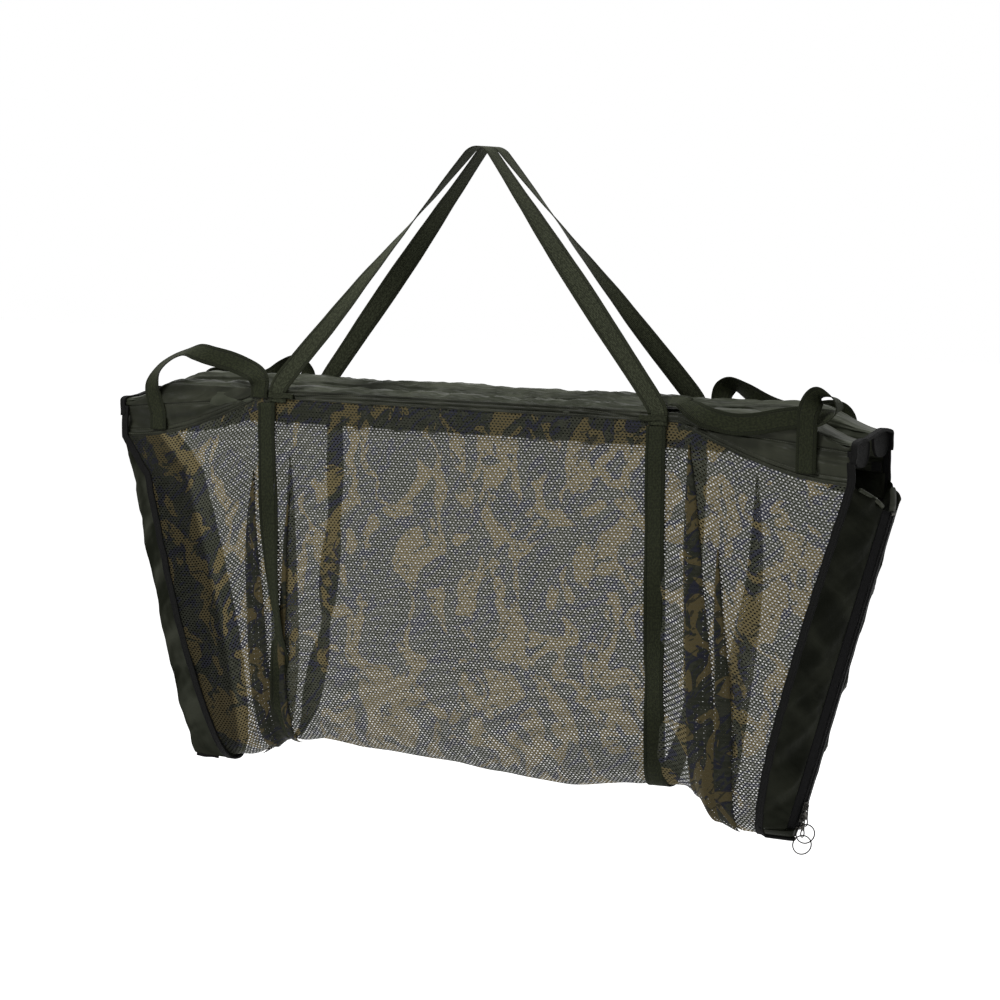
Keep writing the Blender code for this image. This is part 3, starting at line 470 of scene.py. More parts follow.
def waves(a, b, seed, count, shortest, longest, way=0.0, fan=math.pi):
    """Sum of plane sine waves over (a, b), with random lengths, phases and directions near way."""
    dice = np.random.default_rng(seed)
    total = 0.0
    for length, turn, phase in zip(dice.uniform(shortest, longest, count),
                                   dice.uniform(-0.5, 0.5, count) * fan + way,
                                   dice.uniform(0, 2 * np.pi, count)):
        run = (a * np.cos(turn) + b * np.sin(turn)) / length
        total = total + np.sin(2 * np.pi * run + phase)
    return total / math.sqrt(2 * count)


def ease(share):
    """Smooth step from 0 to 1."""
    share = np.clip(share, 0.0, 1.0)
    return share * share * (3 - 2 * share)


def hem_z(x):
    """Level between the loops, then a quarter sine down to the ends."""
    share = np.clip((np.abs(x) - HEM_LEVEL_HALF) / (BODY_HALF - HEM_LEVEL_HALF), 0, 1)
    return -HOOK_TO_HEM - HEM_DROP * np.sin(np.pi / 2 * share)


BOTTOM_KNOTS_X = np.array([-0.60, -0.47, -0.40, -0.349, -0.330, -0.30, -0.258, -0.186, -0.045, 0.04,
                           0.156, 0.269, 0.300, 0.345, 0.368, 0.395, 0.44, 0.60])
BOTTOM_KNOTS_Z = np.array([-0.934, -0.934, -0.924, -0.903, -0.888, -0.891, -0.884, -0.889, -0.892,
                           -0.898, -0.903, -0.888, -0.884, -0.882, -0.892, -0.922, -0.934, -0.934])


def bottom_z(x):
    """Bottom line: knots joined by smooth steps, lifted at the belts and low at the ends."""
    k = np.clip(np.searchsorted(BOTTOM_KNOTS_X, x) - 1, 0, len(BOTTOM_KNOTS_X) - 2)
    low, high = BOTTOM_KNOTS_X[k], BOTTOM_KNOTS_X[k + 1]
    share = ease((x - low) / (high - low))
    return BOTTOM_KNOTS_Z[k] * (1 - share) + BOTTOM_KNOTS_Z[k + 1] * share


def section(angle, x):
    """y and z of the trough at x: y is a 2/3 power of the cosine times a bellied half width."""
    c, s = np.cos(angle), np.sin(angle)
    half = TOP_HALF + BELLY * np.abs(np.sin(2 * angle))
    y = -np.sign(c) * np.abs(c) ** (2 / 3) * half
    return y, hem_z(x) + (bottom_z(x) - hem_z(x)) * s


def wall_points(angle, x, outside=0.0):
    """Points of the trough's section at x, moved outside it square to the cloth."""
    angle, x = np.broadcast_arrays(angle, x)
    y, z = section(angle, x)
    ay, az = section(np.maximum(angle - 0.004, 0), x)
    by, bz = section(np.minimum(angle + 0.004, np.pi), x)
    length = np.hypot(by - ay, bz - az)
    y = y + outside * (bz - az) / length
    z = z - outside * (by - ay) / length
    return grid(x, y, z)


def edge_x(angle):
    """How far out the end seam stands: it slants in towards the bottom."""
    return BODY_HALF + SLANT * (END_LOW_Z - END_HEM_Z) * np.sin(angle)


def seam_x(angle, end):
    """End seam as it hangs: the left one is drawn in below the hem by its full gusset."""
    tuck = LEFT_TUCK * np.minimum(np.abs(np.sin(angle)) / 0.12, 1.0) if end == LEFT else 0.0
    return edge_x(angle) - tuck


def fold(angle, x):
    """Soft swell of the mesh just outside the belts."""
    gone = np.clip((np.abs(x) - BELT_X - 0.018) / 0.130, 0, 1)
    fade = np.sin(np.minimum(np.sin(angle) / 0.5, 1.0) * np.pi / 2)
    return 0.006 * np.sin(np.pi * gone) ** 2 * fade * np.abs(np.cos(angle))


def painted_shade_behind(points, angle, side, end):
    """Painted shade of the mesh: 1 where a sleeve, or the far gusset as seen from the right, stands
    close behind it.
    """
    x, y, z = np.moveaxis(points, -1, 0)
    shade_behind = 0.55 * ease((z - SLEEVE_Z[side] + SLEEVE_HEIGHT / 2) / 0.004 + 0.5)
    if end == side:
        inside = seam_x(angle, end) - np.abs(x) - 1.1 * np.abs(y)
        shade_behind = np.maximum(shade_behind, ease(0.5 - inside / 0.010))
    return shade_behind


def mesh_panel(word, side, end):
    """One of the six fields of mesh: front or back half of the left, middle or right part."""
    angle = np.linspace(0, np.pi / 2, 90)
    if side == BACK:
        angle = np.pi - angle
    angle = angle[:, None]
    share = np.linspace(0, 1, 97)[None, :]
    if end == 0:
        x = BELT_X * (2 * share - 1) + 0 * angle
    else:
        x = end * (BELT_X + (seam_x(angle, end) - BELT_X) * share)
    down = lengths(wall_points(angle, x))
    loose = np.sin(angle) ** 0.7 * np.abs(np.cos(angle)) ** 0.5
    ripple = waves(x, down, 11 + side + 3 * end, 5, 0.05, 0.16, 0.35, 1.1)
    pull = waves(x + 0.25 * end * down, down, 17 + side + 3 * end, 6, 0.018, 0.050, 0.15, 0.35)
    out = fold(angle, x) + loose * (0.0018 * ripple + (0.0004 if end == 0 else 0.0011) * pull)
    points = wall_points(angle, x, out)
    slant = 0.045 * end if side == FRONT else 0.60
    made = skin(word, points, CAMO_MESH if side == FRONT else FAR_MESH, "sling",
                x * math.cos(slant) + down * math.sin(slant),
                down * math.cos(slant) - x * math.sin(slant) + (0.9 if side == BACK else 0.1),
                (0, side, -1), shade_behind=painted_shade_behind(points, angle, side, end))
    width = float(np.abs(x[0, -1] - x[0, 0]))
    low = float(np.abs(x[-1, -1] - x[-1, 0]))
    return made


# Pleats of the outer fields: (side, end, top depth, place at the top, places of both edges at
# the bottom), depth as a share of the wall and places as shares from the belt to the end seam
PLEAT_SHARES = ((FRONT, LEFT, 0.20, 0.16, 0.06, 0.36), (FRONT, LEFT, 0.26, -0.14, -0.10, 0.02),
                (FRONT, RIGHT, 0.04, 0.16, 0.34, 0.66), (FRONT, RIGHT, 0.26, 0.40, 0.60, 0.80),
                (BACK, LEFT, 0.15, 0.30, 0.30, 0.60), (BACK, RIGHT, 0.10, 0.34, 0.24, 0.52))


def pleat(number, side, end, top, place, near, far):
    """Tuck of mesh laid flat on its field: a strip that starts at a point and widens downwards."""
    angle = np.linspace(math.asin(top), np.pi / 2 - 0.02, 70)
    down_share = (np.sin(angle) - top) / (1 - top)
    low = place + (near - place) * down_share + 0.010 * np.sin(9 * down_share + number)
    wide = np.maximum((far - near) * down_share ** 0.8, 0.012)
    share = low[:, None] + wide[:, None] * np.linspace(0, 1, 15)[None, :]
    turned = (np.pi - angle if side == BACK else angle)[:, None]
    x = end * (BELT_X + (seam_x(turned, end) - BELT_X) * share)
    rim = np.abs(np.linspace(-1, 1, 15)[None, :])
    lift = PLEAT_LIFT * (1 - rim ** 6) + 0.0005 + fold(turned, x) + 0.0024 * np.sin(turned) ** 0.7
    points = wall_points(turned, x, lift)
    down = lengths(points)
    name = "pleat_%d" % number
    # The whole pleat takes painted shade, its yarn darkened as where cloth stands close behind
    made = skin(name, points, PLEAT_MESH, "sling", x - 0.21, down + 0.37 * number, (0, side, -1),
                shade_behind=np.ones(points.shape[:2]))
    width, depth = float(lengths(points, 1)[:, -1].max()), float(down.max())
    steps = lengths(points, 1)[:, -1].mean()


for side, word in SIDES:
    for end, place in ((LEFT, "left"), (0, "middle"), (RIGHT, "right")):
        panel = mesh_panel("%s_%s_mesh" % (word, place), side, end)
        if (side, end) == (FRONT, 0):
            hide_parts("mesh_trough")
for number, shares in enumerate(PLEAT_SHARES):
    pleat(number, *shares)


def end_share(x):
    """0 along the top, 1 at its ends, where it sinks."""
    return ease((np.abs(x) - 0.505) / 0.100)


def band(word, side):
    """Nylon skirt of a sleeve: from its side down to the hem, bowed out a little, hem turned up."""
    x = np.linspace(-BODY_HALF, BODY_HALF, 241)[None, :]
    share = np.concatenate([np.linspace(0, 1, 13), [1.0, 1.0]])[:, None]
    top, low = BAND_TOP_Z + BAND_LAP - END_DROP * end_share(x), hem_z(x) + GAP
    z = top + (low - top) * share
    tall = np.clip((top - low) / 0.06, 0, 1)
    crease = -np.abs(waves(x, z, 5 + side, 6, 0.03, 0.08, 1.35, 0.5)) ** 0.7
    crease = (crease + waves(x, z, 15 + side, 5, 0.05, 0.14, 1.1, 1.2)) * tall
    out = BAND_CREASE * crease * np.sin(np.pi * share) ** 0.7
    seam = z + SEAM_SLOPE * np.abs(x) - SEAM_FROM
    out = out - SEAM_DEPTH * np.exp(-(seam / SEAM_SPREAD) ** 2) * tall
    out = out + 0.0006 * waves(x, z, 8 + side, 5, 0.012, 0.03, 0.0, 0.5)
    out = out * (share > 0) + 0.0004 * np.sin(x * 160) * share
    points = grid(x, side * (TOP_HALF + out), z)
    turn = np.array([0.0008, -0.0006])
    points[-2:, :, 1] -= side * turn[:, None]
    points[-2, :, 2] -= 0.0008
    points[-1, :, 2] += 0.0045
    up = points[..., 2] - hem_z(points[..., 0])
    made = skin(word, points, BAND_NYLON, "sling", points[..., 0], up, (0, side, 0),
                wall=NYLON_WALL)
    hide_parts(word)
    drop = float(lengths(points)[-1].mean())


band("front_band", FRONT)
band("back_band", BACK)


def rounded(turn, half_depth, half_height):
    """Section of a sleeve: a circle whose cosine and sine are raised to 2 / SLEEVE_ROUND."""
    c, s = np.cos(turn), np.sin(turn)
    power = 2 / SLEEVE_ROUND
    return (np.sign(c) * np.abs(c) ** power * half_depth,
            np.sign(s) * np.abs(s) ** power * half_height)


def droop(x, up):
    """Height of the sleeve's section above its middle: it sinks and flattens towards the ends."""
    share = end_share(x)
    return np.where(up > 0, up * (1 - 0.78 * share), up) - 0.010 * share


def float_sleeve(word, side, z):
    """Nylon pulled round its foam: the rounded section carried along X, creased lengthways."""
    x = np.linspace(-SLEEVE_HALF, SLEEVE_HALF, 361)[:, None]
    turn = np.linspace(0, 2 * np.pi, 73)[None, :]
    y, up = rounded(turn, SLEEVE_DEPTH / 2, SLEEVE_HEIGHT / 2)
    round_way = turn * 0.028
    bent = round_way + 0.004 * waves(x, round_way, 25 + side, 4, 0.10, 0.30)
    crease = -np.abs(waves(x, bent, 21 + side, 7, 0.014, 0.034, np.pi / 2, 0.22)) ** 0.7
    crease = crease + 0.5 * waves(x, bent, 27 + side, 6, 0.030, 0.070, 0.9, 1.6)
    gather = np.sin(2 * np.pi * x / 0.034 + 1.5 * np.sin(9 * x)) * ease((0.30 - np.abs(x)) / 0.10)
    sag = waves(x, round_way, 31 + side, 4, 0.16, 0.40, 0.0, 0.6)
    calm = ease((SLEEVE_HALF - np.abs(x)) / 0.012)
    swell = SLEEVE_CREASE * crease + SLEEVE_SAG * sag + SLEEVE_GATHER * gather
    swell = swell * calm - 0.0006
    span = np.hypot(y, up)
    points = grid(x * (1 - 0.0035 / SLEEVE_HALF), side * SLEEVE_Y + y * (1 + swell / span),
                  z + droop(x, up) * (1 + swell / span))
    made = skin(word + "_float", points, SLEEVE_NYLON, "sling", x, round_way, wrap=True)
    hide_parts(word + "_float_sleeve", word + "_float_bar")


# Rings of a sleeve's cap: share of the sleeve's section, and how far out of its end
CAP_RINGS = np.array([[0.950, -0.0060], [0.985, -0.0052], [1.000, -0.0040], [1.004, -0.0026],
                      [0.998, -0.0014], [0.980, -0.0008], [0.960, -0.0012], [0.945, -0.0018],
                      [0.930, -0.0022], [0.70, -0.0024], [0.45, -0.0024], [0.20, -0.0024],
                      [0.02, -0.0024]])


def sleeve_cap(word, side, end, end_word, z):
    """Bound end of a sleeve: rings of its section shrinking to the middle, with a piped rim; the
    black face inside the rim is painted shade for the dark opening of the sleeve's end.
    """
    turn = np.linspace(0, 2 * np.pi, 61)[None, :]
    y, up = rounded(turn, SLEEVE_DEPTH / 2 - 0.0004, SLEEVE_HEIGHT / 2 - 0.0004)
    up = droop(np.array(SLEEVE_HALF), up)
    scale, out = CAP_RINGS[:, :1], CAP_RINGS[:, 1:]
    points = grid(end * (SLEEVE_HALF + out), side * SLEEVE_Y + y * scale, z + up * scale)
    made = skin("%s_%s_sleeve_cap" % (word, end_word), points, BLACK_TRIM, "sling", turn * 0.028,
                lengths(points), wrap=True)
    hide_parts("%s_%s_sleeve_end" % (word, end_word))


for side, word in SIDES:
    float_sleeve(word, side, SLEEVE_Z[side])
    for end, end_word in ENDS:
        sleeve_cap(word, side, end, end_word, SLEEVE_Z[side])


def end_rim(end, end_word):
    """Binding that runs on from the end seam over both sleeve ends and straight over the mouth."""
    turn = np.linspace(np.pi + 0.65, np.pi / 2 - 0.25, 22)
    y, up = rounded(turn, SLEEVE_DEPTH / 2 + 0.0016, SLEEVE_HEIGHT / 2 + 0.0012)
    y[turn > np.pi] = -SLEEVE_DEPTH / 2 - 0.0016
    up = droop(np.array(SLEEVE_HALF), up)
    front = grid(0, y - SLEEVE_Y, up + SLEEVE_Z[FRONT])
    back = grid(0, SLEEVE_Y - y, up + SLEEVE_Z[BACK])[::-1]
    path = np.concatenate([front, back])
    run = lengths(path)
    path[:, 0] = end * (SLEEVE_HALF - 0.0005 + 0.0010 * waves(run, 0, 55 + end, 5, 0.02, 0.06))
    path[:, 2] += 0.0008 * waves(run, 0, 57 + end, 4, 0.02, 0.05)
    slope = np.gradient(path, axis=0)
    strap("%s_rim" % end_word, path, grid(0, -slope[:, 2], slope[:, 1]), RIM_WIDTH, RIM_THICKNESS,
          BLACK_TRIM)


STRAP_SHARES = np.array([[-1, 0], [-0.985, 0.7], [-0.94, 1], [-0.72, 1.0], [-0.66, 0.86], [-0.3, 1],
                         [0, 1.02], [0.3, 1], [0.66, 0.86], [0.72, 1.0], [0.94, 1], [0.985, 0.7],
                         [1, 0], [0.985, -0.7], [0.94, -1], [0.5, -1], [0, -1], [-0.5, -1],
                         [-0.94, -1], [-0.985, -0.7], [-1, 0]])


def strap(name, path, face, width, thickness, finish, body="sling"):
    """Flat closed section carried along a path; face is the way its upper side looks."""
    along = heading(path)
    face = unit(face - along * (face * along).sum(-1, keepdims=True))
    across = np.cross(along, face)
    profile = STRAP_SHARES * (width / 2, thickness / 2)
    points = path[:, None] + across[:, None] * profile[:, :1] + face[:, None] * profile[:, 1:]
    return skin(name, points, finish, body, profile[:, 0], lengths(path)[:, None], wrap=True)


def binding(end, word):
    """Grosgrain folded over the end seam, from the top of one band round to the other."""
    angle = np.linspace(0, np.pi, 161)
    seam = seam_x(angle, end)
    path = wall_points(angle, seam, (BINDING - CLOTH) / 2)
    path[:, 0] = end * seam
    climb = np.linspace(BAND_TOP_Z - END_DROP, hem_z(BODY_HALF), 14)[:-1]
    low = grid(end * BODY_HALF, path[0, 1], climb)
    high = grid(end * BODY_HALF, path[-1, 1], climb)[::-1]
    path = np.concatenate([low, path, high])
    run = lengths(path)
    slope = np.gradient(path, axis=0)
    outward = grid(0, slope[:, 2], -slope[:, 1])
    outward[np.abs(path[:, 1]) < 0.002] = (0, 0, -1)
    outward = unit(outward * np.sign((outward * (path + (0, 0, 0.62))).sum(-1, keepdims=True)
                                     + 1e-9))
    path[:, 0] += 0.0009 * waves(run, 0, 51 + end, 5, 0.02, 0.06)
    made = strap("%s_end_edge" % word, path, outward, BINDING_WIDTH + 0.0012, BINDING + 0.0008,
                 BLACK_TRIM)
    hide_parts("%s_end_binding" % word)


for end, word in ENDS:
    binding(end, word)
    end_rim(end, word)

TILT_COS, TILT_SIN = math.cos(ZIP_TILT), math.sin(ZIP_TILT)
SQUARE_OUT = np.array([TILT_COS, 0, -TILT_SIN])
ACROSS_ZIP = SQUARE_OUT * math.sin(ZIP_TURN) + np.array([0, math.cos(ZIP_TURN), 0])
OUT_OF_ZIP = SQUARE_OUT * math.cos(ZIP_TURN) - np.array([0, math.sin(ZIP_TURN), 0])
TAPE_EDGE = SLOT_HALF + TAPE_WIDTH + GAP + CLOTH / 2


def crest_x(z):
    return CREST_X + SLANT * (z - END_HEM_Z)


def crest(z, out=0.0, side=0.0):
    """Points beside the zip's line: out square to the tape, side across it."""
    z = np.asarray(z, float)
    line = grid(crest_x(z), 0, z)
    return line + OUT_OF_ZIP * np.asarray(out)[..., None] + ACROSS_ZIP * np.asarray(side)[..., None]


def panel_row(angle, share_in):
    """Half width and height of an end panel's row; its top dips towards the middle."""
    y, z = section(angle, edge_x(angle))
    return np.abs(y), z - TOP_DIP * share_in * (1 - np.sin(angle)) ** 2


GUSSET_LAST = 0.965 * math.pi / 2
while abs(section(GUSSET_LAST, edge_x(GUSSET_LAST))[0]) < TAPE_EDGE + TAPE_WIDTH / 2:
    GUSSET_LAST -= math.radians(1)


def end_cloth(name, points, across, down, end, node):
    """Cloth of an end in its end's nylon, with a thin wall."""
    made = skin(name, points, SIDE_NYLON if end == LEFT else GUSSET_NYLON, "sling", across, down,
                (end, 0, 0), wall=NYLON_WALL)
    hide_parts(node)
    width = float(lengths(points, 1)[:, -1].max())
    drop = float(lengths(points)[-1].max())
    return made


def left_panel():
    """Sewn gusset of the left end: each row bows out to the crest by 1 - |across|^p.

    p grows from 1.4 at the top to 2.8 at the bottom.
    """
    angle = np.concatenate([np.linspace(0, np.pi / 2 * 0.965, 70),
                            np.pi / 2 * np.array([0.985, 0.995])])
    angle, across = angle[:, None], np.linspace(-1, 1, 61)[None, :]
    half, z = panel_row(angle, 1 - np.abs(across))
    z = z + (TOP_DIP - 0.004) * (1 - np.abs(across)) * (1 - np.sin(angle)) ** 2
    start = seam_x(angle, LEFT) + PANEL_INSET
    x = start + (crest_x(z) - start) * (1 - np.abs(across) ** (BULGE_POWER + 1.4 * np.sin(angle)))
    loose = np.sin(np.pi * (across + 1) / 2)
    x = x + loose * (LEFT_CREASES[0] * waves(half * across, z, 61, 6, 0.03, 0.09, 0.6, 0.9)
                     + LEFT_CREASES[1] * waves(half * across, z, 62, 6, 0.012, 0.03, 0.9, 0.9))
    points = grid(-x, half * across, z)
    end_cloth("left_gusset", points, half * across, -z, LEFT, "left_end_panel")


def gusset_row(angle, share, side):
    """x, y and z of the zipped gusset, from the seam in to the tape by 1 - (1 - share)^1.4."""
    half, z = panel_row(angle, share)
    start = edge_x(angle) + PANEL_INSET
    offset = ACROSS_ZIP * side * TAPE_EDGE - OUT_OF_ZIP * TAPE_FOLD
    meet = crest_x(z - offset[2]) + offset[0]
    x = start + (meet - start) * (1 - (1 - share) ** BULGE_POWER)
    return x, side * half + (offset[1] - side * half) * share, z


def right_panel(name, side, node):
    """Half of the zipped gusset, creased, from the seam in to the edge of the tape."""
    angle = np.linspace(0, GUSSET_LAST, 70)[:, None]
    share = np.linspace(0, 1, 33)[None, :]
    x, y, z = gusset_row(angle, share, side)
    loose = np.sin(np.pi * share) ** 0.8
    long_way = waves(y, z, 71 + side, 6, 0.03, 0.10, 0.75 * side, 0.7)
    fine = waves(y, z, 74 + side, 7, 0.010, 0.03, 0.9 * side, 0.7)
    x = x + loose * (RIGHT_CREASES[0] * long_way + RIGHT_CREASES[1] * fine)
    end_cloth(name, grid(x, y, z), y, -z, RIGHT, node)


left_panel()
right_panel("right_gusset_front", FRONT, "right_front_gusset")
right_panel("right_gusset_back", BACK, "right_back_gusset")


def foot_x(start, z, across):
    """Boxy bow of the closed foot, from the seam out to the crest by 1 - |across|^5.4."""
    return start + (crest_x(z) - start) * (1 - np.abs(across) ** FOOT_POWER)


def foot():
    """Closed foot below the zip."""
    angle = np.linspace(GUSSET_LAST + math.radians(0.5), np.pi / 2 * 0.995, 20)[:, None]
    across = np.linspace(-1, 1, 61)[None, :]
    half, z = panel_row(angle, 0)
    x = foot_x(edge_x(angle) + PANEL_INSET, z, across)
    x = x + 0.0008 * waves(half * across, z, 81, 5, 0.01, 0.03) * (1 - across ** 2)
    end_cloth("right_foot", grid(x, half * across, z), half * across, -z, RIGHT, "right_end_foot")


def fin(end, word):
    """Binding pinched along the bottom of an end."""
    top = END_LOW_Z - CLOTH / 2 - GAP + 0.0016
    start = edge_x(np.pi / 2) + PANEL_INSET
    reach = float(crest_x(top)) - start
    t = np.linspace(0, 1, 25)
    path = grid(end * (start + (reach - 0.002) * t), 0.0006 * np.sin(9 * t),
                top - 0.003 + 0.0006 * np.sin(7 * t))
    made = strap("%s_fin" % word, path, (0, -1, 0), FIN_WIDTH, BINDING + 0.0008, BLACK_TRIM)
    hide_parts("%s_foot_binding" % word)


def piping(name, path, radius, finish):
    """Round bead carried along a path."""
    turn = np.linspace(0, 2 * np.pi, 13)
    along = heading(path)
    side = unit(np.cross(along, (0.11, 0.27, 1.0)))
    round_way = (side[:, None] * np.cos(turn)[:, None]
                 + np.cross(along, side)[:, None] * np.sin(turn)[:, None])
    skin(name, path[:, None] + radius * round_way, finish, "sling", radius * turn,
         lengths(path)[:, None], wrap=True)


def gusset_hem():
    """Rolled hem along the dipped top of the front gusset, up to the zip."""
    path = grid(*gusset_row(np.zeros(40), np.linspace(0.16, 0.97, 40), FRONT))
    piping("gusset_hem", path + (0, 0, 0.0008), HEM_RADIUS, TONGUE_NYLON)


def facing():
    """Strip of nylon sewn inside the back mesh beside the zipped end, below the band."""
    angle = np.pi - np.linspace(0.006, 0.052, 8)[:, None]
    x = BODY_HALF - FACING_INSET - FACING_LENGTH * np.linspace(1, 0, 20)[None, :]
    points = wall_points(angle, x, -0.0022)
    points[0, :, 2] += 0.0120
    made = skin("back_facing", points, GUSSET_NYLON, "sling", x, lengths(points), (0, BACK, 0),
                wall=0.0008)
    float(lengths(points)[-1].max())


def foot_piping():
    """Black piping round the rounded bottom corner, from the front seam to the foot of the zip."""
    angle = np.linspace(GUSSET_LAST - 0.02, np.pi / 2 * 0.995, 24)
    half, z = panel_row(angle, 0)
    seam = grid(edge_x(angle) + PANEL_INSET, -half, z)
    across = np.linspace(-0.985, 0.0, 30)
    low_half, low_z = panel_row(np.array(np.pi / 2 * 0.985), 0)
    x = foot_x(edge_x(np.pi / 2) + PANEL_INSET, low_z, across)
    edge = grid(x, low_half * across, low_z - 0.0030)
    piping("foot_edge", np.concatenate([seam[:-6], edge]), PIPING_RADIUS, BLACK_TRIM)


foot()
for end, word in ENDS:
    fin(end, word)
gusset_hem()
facing()
foot_piping()


def zip_tape(word, side):
    """Woven tape: flat beside the slot, then turned back to the gusset."""
    z = np.linspace(ZIP_TOP_Z, ZIP_BOTTOM_Z, 61)[:, None]
    across = np.array([0.0, 0.0015, 0.003, 0.0045, 0.007, 0.0095, 0.012, TAPE_WIDTH])[None, :]
    folded = np.maximum(across - TAPE_FLAT, 0) / (TAPE_WIDTH - TAPE_FLAT)
    points = crest(z, -TAPE_FOLD * folded, side * (SLOT_HALF + across))
    made = skin(word + "_tape", points, ZIP_CLOTH, "sling", side * across, z, OUT_OF_ZIP,
                wall=NYLON_WALL)
    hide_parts(word + "_zip_tape")


def zip_coil(word, side):
    """Coil of the zip: a round bar whose radius swells once for each tooth."""
    z = np.arange(ZIP_BOTTOM_Z + 0.0044, ZIP_TOP_Z - 0.0044, 0.00042)[:, None]
    turn = np.linspace(0, 2 * np.pi, 9)
    reach = 0.62 + 0.38 * (0.5 + 0.5 * np.cos(2 * np.pi * z / 0.0026))
    out = CLOTH / 2 + GAP + COIL_HEIGHT / 2 + np.sin(turn) * COIL_HEIGHT / 2 * reach
    wide = side * (SLOT_HALF + COIL_WIDTH / 2 + np.cos(turn) * COIL_WIDTH / 2 * reach)
    made = skin("%s_coil" % word, crest(z, out, wide), COIL_NYLON, "sling", turn * 0.001, z,
                wrap=True)
    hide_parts("%s_zip_coil" % word)


for side, word in SIDES:
    zip_tape(word, side)
    zip_coil(word, side)


# Where the belts lie, as (height, distance from the middle) down the front and up the back
BELT_PLACES = {LEFT: (((-0.372, 0.336), (-0.612, 0.319), (-0.731, 0.303), (-0.895, 0.327)),
                      ((-0.372, 0.300), (-0.486, 0.299), (-0.700, 0.312), (-0.895, 0.327))),
               RIGHT: (((-0.372, 0.312), (-0.561, 0.320), (-0.756, 0.321), (-0.892, 0.303)),
                       ((-0.372, 0.315), (-0.600, 0.308), (-0.760, 0.314), (-0.892, 0.303)))}


def belt(word, end):
    """Webbing belt round the trough, a little wavy, sewn along both its edges."""
    angle = np.linspace(0.012, np.pi - 0.012, 221)
    level = section(angle, end * BELT_X + 0 * angle)[1]
    front, back = (np.array(places)[::-1] for places in BELT_PLACES[end])
    x = end * np.where(angle < np.pi / 2, np.interp(level, *front.T), np.interp(level, *back.T))
    x = np.convolve(np.pad(x, 12, "edge"), np.ones(25) / 25, "valid")
    path = wall_points(angle, x, CLOTH / 2 + GAP + WEBBING / 2)
    inner = wall_points(angle, x)
    run = lengths(path)
    loose = np.sin(angle)
    path[:, 0] += 0.0022 * loose * waves(run, 0, 91 + end, 4, 0.08, 0.20)
    path += (path - inner) / (CLOTH / 2 + GAP + WEBBING / 2) * (
        0.0009 * (1 + waves(run, 0, 93 + end, 5, 0.03, 0.08)))[:, None]
    made = strap(word + "_girth", path, path - inner, STRAP_WIDTH, WEBBING, OLIVE_WEB)
    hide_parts(word + "_belt")


def tack(word, end_word, side, end):
    """Folded webbing sewn across the base of a loop."""
    reach = np.linspace(-TACK_LENGTH / 2, TACK_LENGTH / 2, 15)
    x = end * (BELT_X - (TACK_LENGTH - STRAP_WIDTH) / 2) + reach
    path = grid(x, side * (BAND_FACE + WEBBING),
                TACK_Z + TACK_HEIGHT / 2 + 0.0007 * np.sin(reach * 190))
    made = strap("%s_%s_tack" % (word, end_word), path, (0, side, 0), TACK_HEIGHT, 2 * WEBBING,
                 TACK_WEB)
    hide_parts("%s_%s_loop_tack" % (word, end_word))


LOOP_APEX_RADIUS, LOOP_SIDE, LOOP_RISE, LOOP_BEND = 0.026, 0.0155, 0.010, 0.030
LEAN_Z = BAND_TOP_Z + STRAP_WIDTH / 2


def loop_half():
    """Right half of a loop in its own plane: up at the base, a soft bend, straight, then an arc."""
    top = WEBBING / 2 - LOOP_APEX_RADIUS
    corner = np.array([BELT_X, HINGE_Z + LOOP_RISE])
    dx, dz = BELT_X, top - corner[1]
    tangent = math.acos(LOOP_APEX_RADIUS / math.hypot(dx, dz)) + math.atan2(-dz, dx)
    touch = np.array([LOOP_APEX_RADIUS * math.cos(tangent),
                      top + LOOP_APEX_RADIUS * math.sin(tangent)])
    start = corner - (0, LOOP_RISE * 0.7)
    end = corner + (touch - corner) / np.linalg.norm(touch - corner) * LOOP_BEND
    base = grid(BELT_X, np.linspace(HINGE_Z - 0.014, start[1], 9))[:-1]
    t = np.linspace(0, 1, 16)[:, None]
    bend = start * (1 - t) ** 2 + corner * 2 * t * (1 - t) + end * t * t
    leg = end + (touch - end) * np.linspace(0, 1, 90)[1:-1, None]
    turn = np.linspace(tangent, np.pi / 2, 18)
    arc = grid(LOOP_APEX_RADIUS * np.cos(turn), top + LOOP_APEX_RADIUS * np.sin(turn))
    return np.concatenate([base, bend, leg, arc])


def weigh_loop(word, side):
    """Webbing loop: its outer face turns from outwards at the base to upwards over the hook."""
    half = loop_half()
    route = np.concatenate([half, half[-2::-1] * (-1, 1)])
    run = lengths(half)
    run = np.concatenate([run, run[-2::-1]])
    share = np.maximum((route[:, 1] - LEAN_Z) / -LEAN_Z, 0)
    y = WEB_Y + (LOOP_SIDE - WEB_Y) * share
    path = grid(route[:, 0], side * y, route[:, 1])
    along = heading(path)
    outward = unit((0, side, 0) - along * (along[:, 1:2] * side))
    upward = np.cross(along, outward)
    upward *= np.where(upward[:, :1] * route[:, :1] + upward[:, 2:] * LOOP_APEX_RADIUS < 0, -1, 1)
    turn = (np.pi / 2 * ease((run - LOOP_BEND - 0.014) / (run.max() - LOOP_BEND)))[:, None]
    face = outward * np.cos(turn) + upward * np.sin(turn)
    path = path + face * (0.0007 * ease((run - 0.05) / 0.1) *
                          waves(lengths(path), 0, 101 + side, 5, 0.05, 0.16))[:, None] * (
        ease((0.0 - route[:, 1] - 0.03) / 0.05)[:, None])
    made = strap(word + "_loop_strap", path, face, STRAP_WIDTH, WEBBING, LOOP_WEB, body=None)
    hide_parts(word + "_weigh_loop")
    side * WEB_Y
    side * WEB_Y
    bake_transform(made)


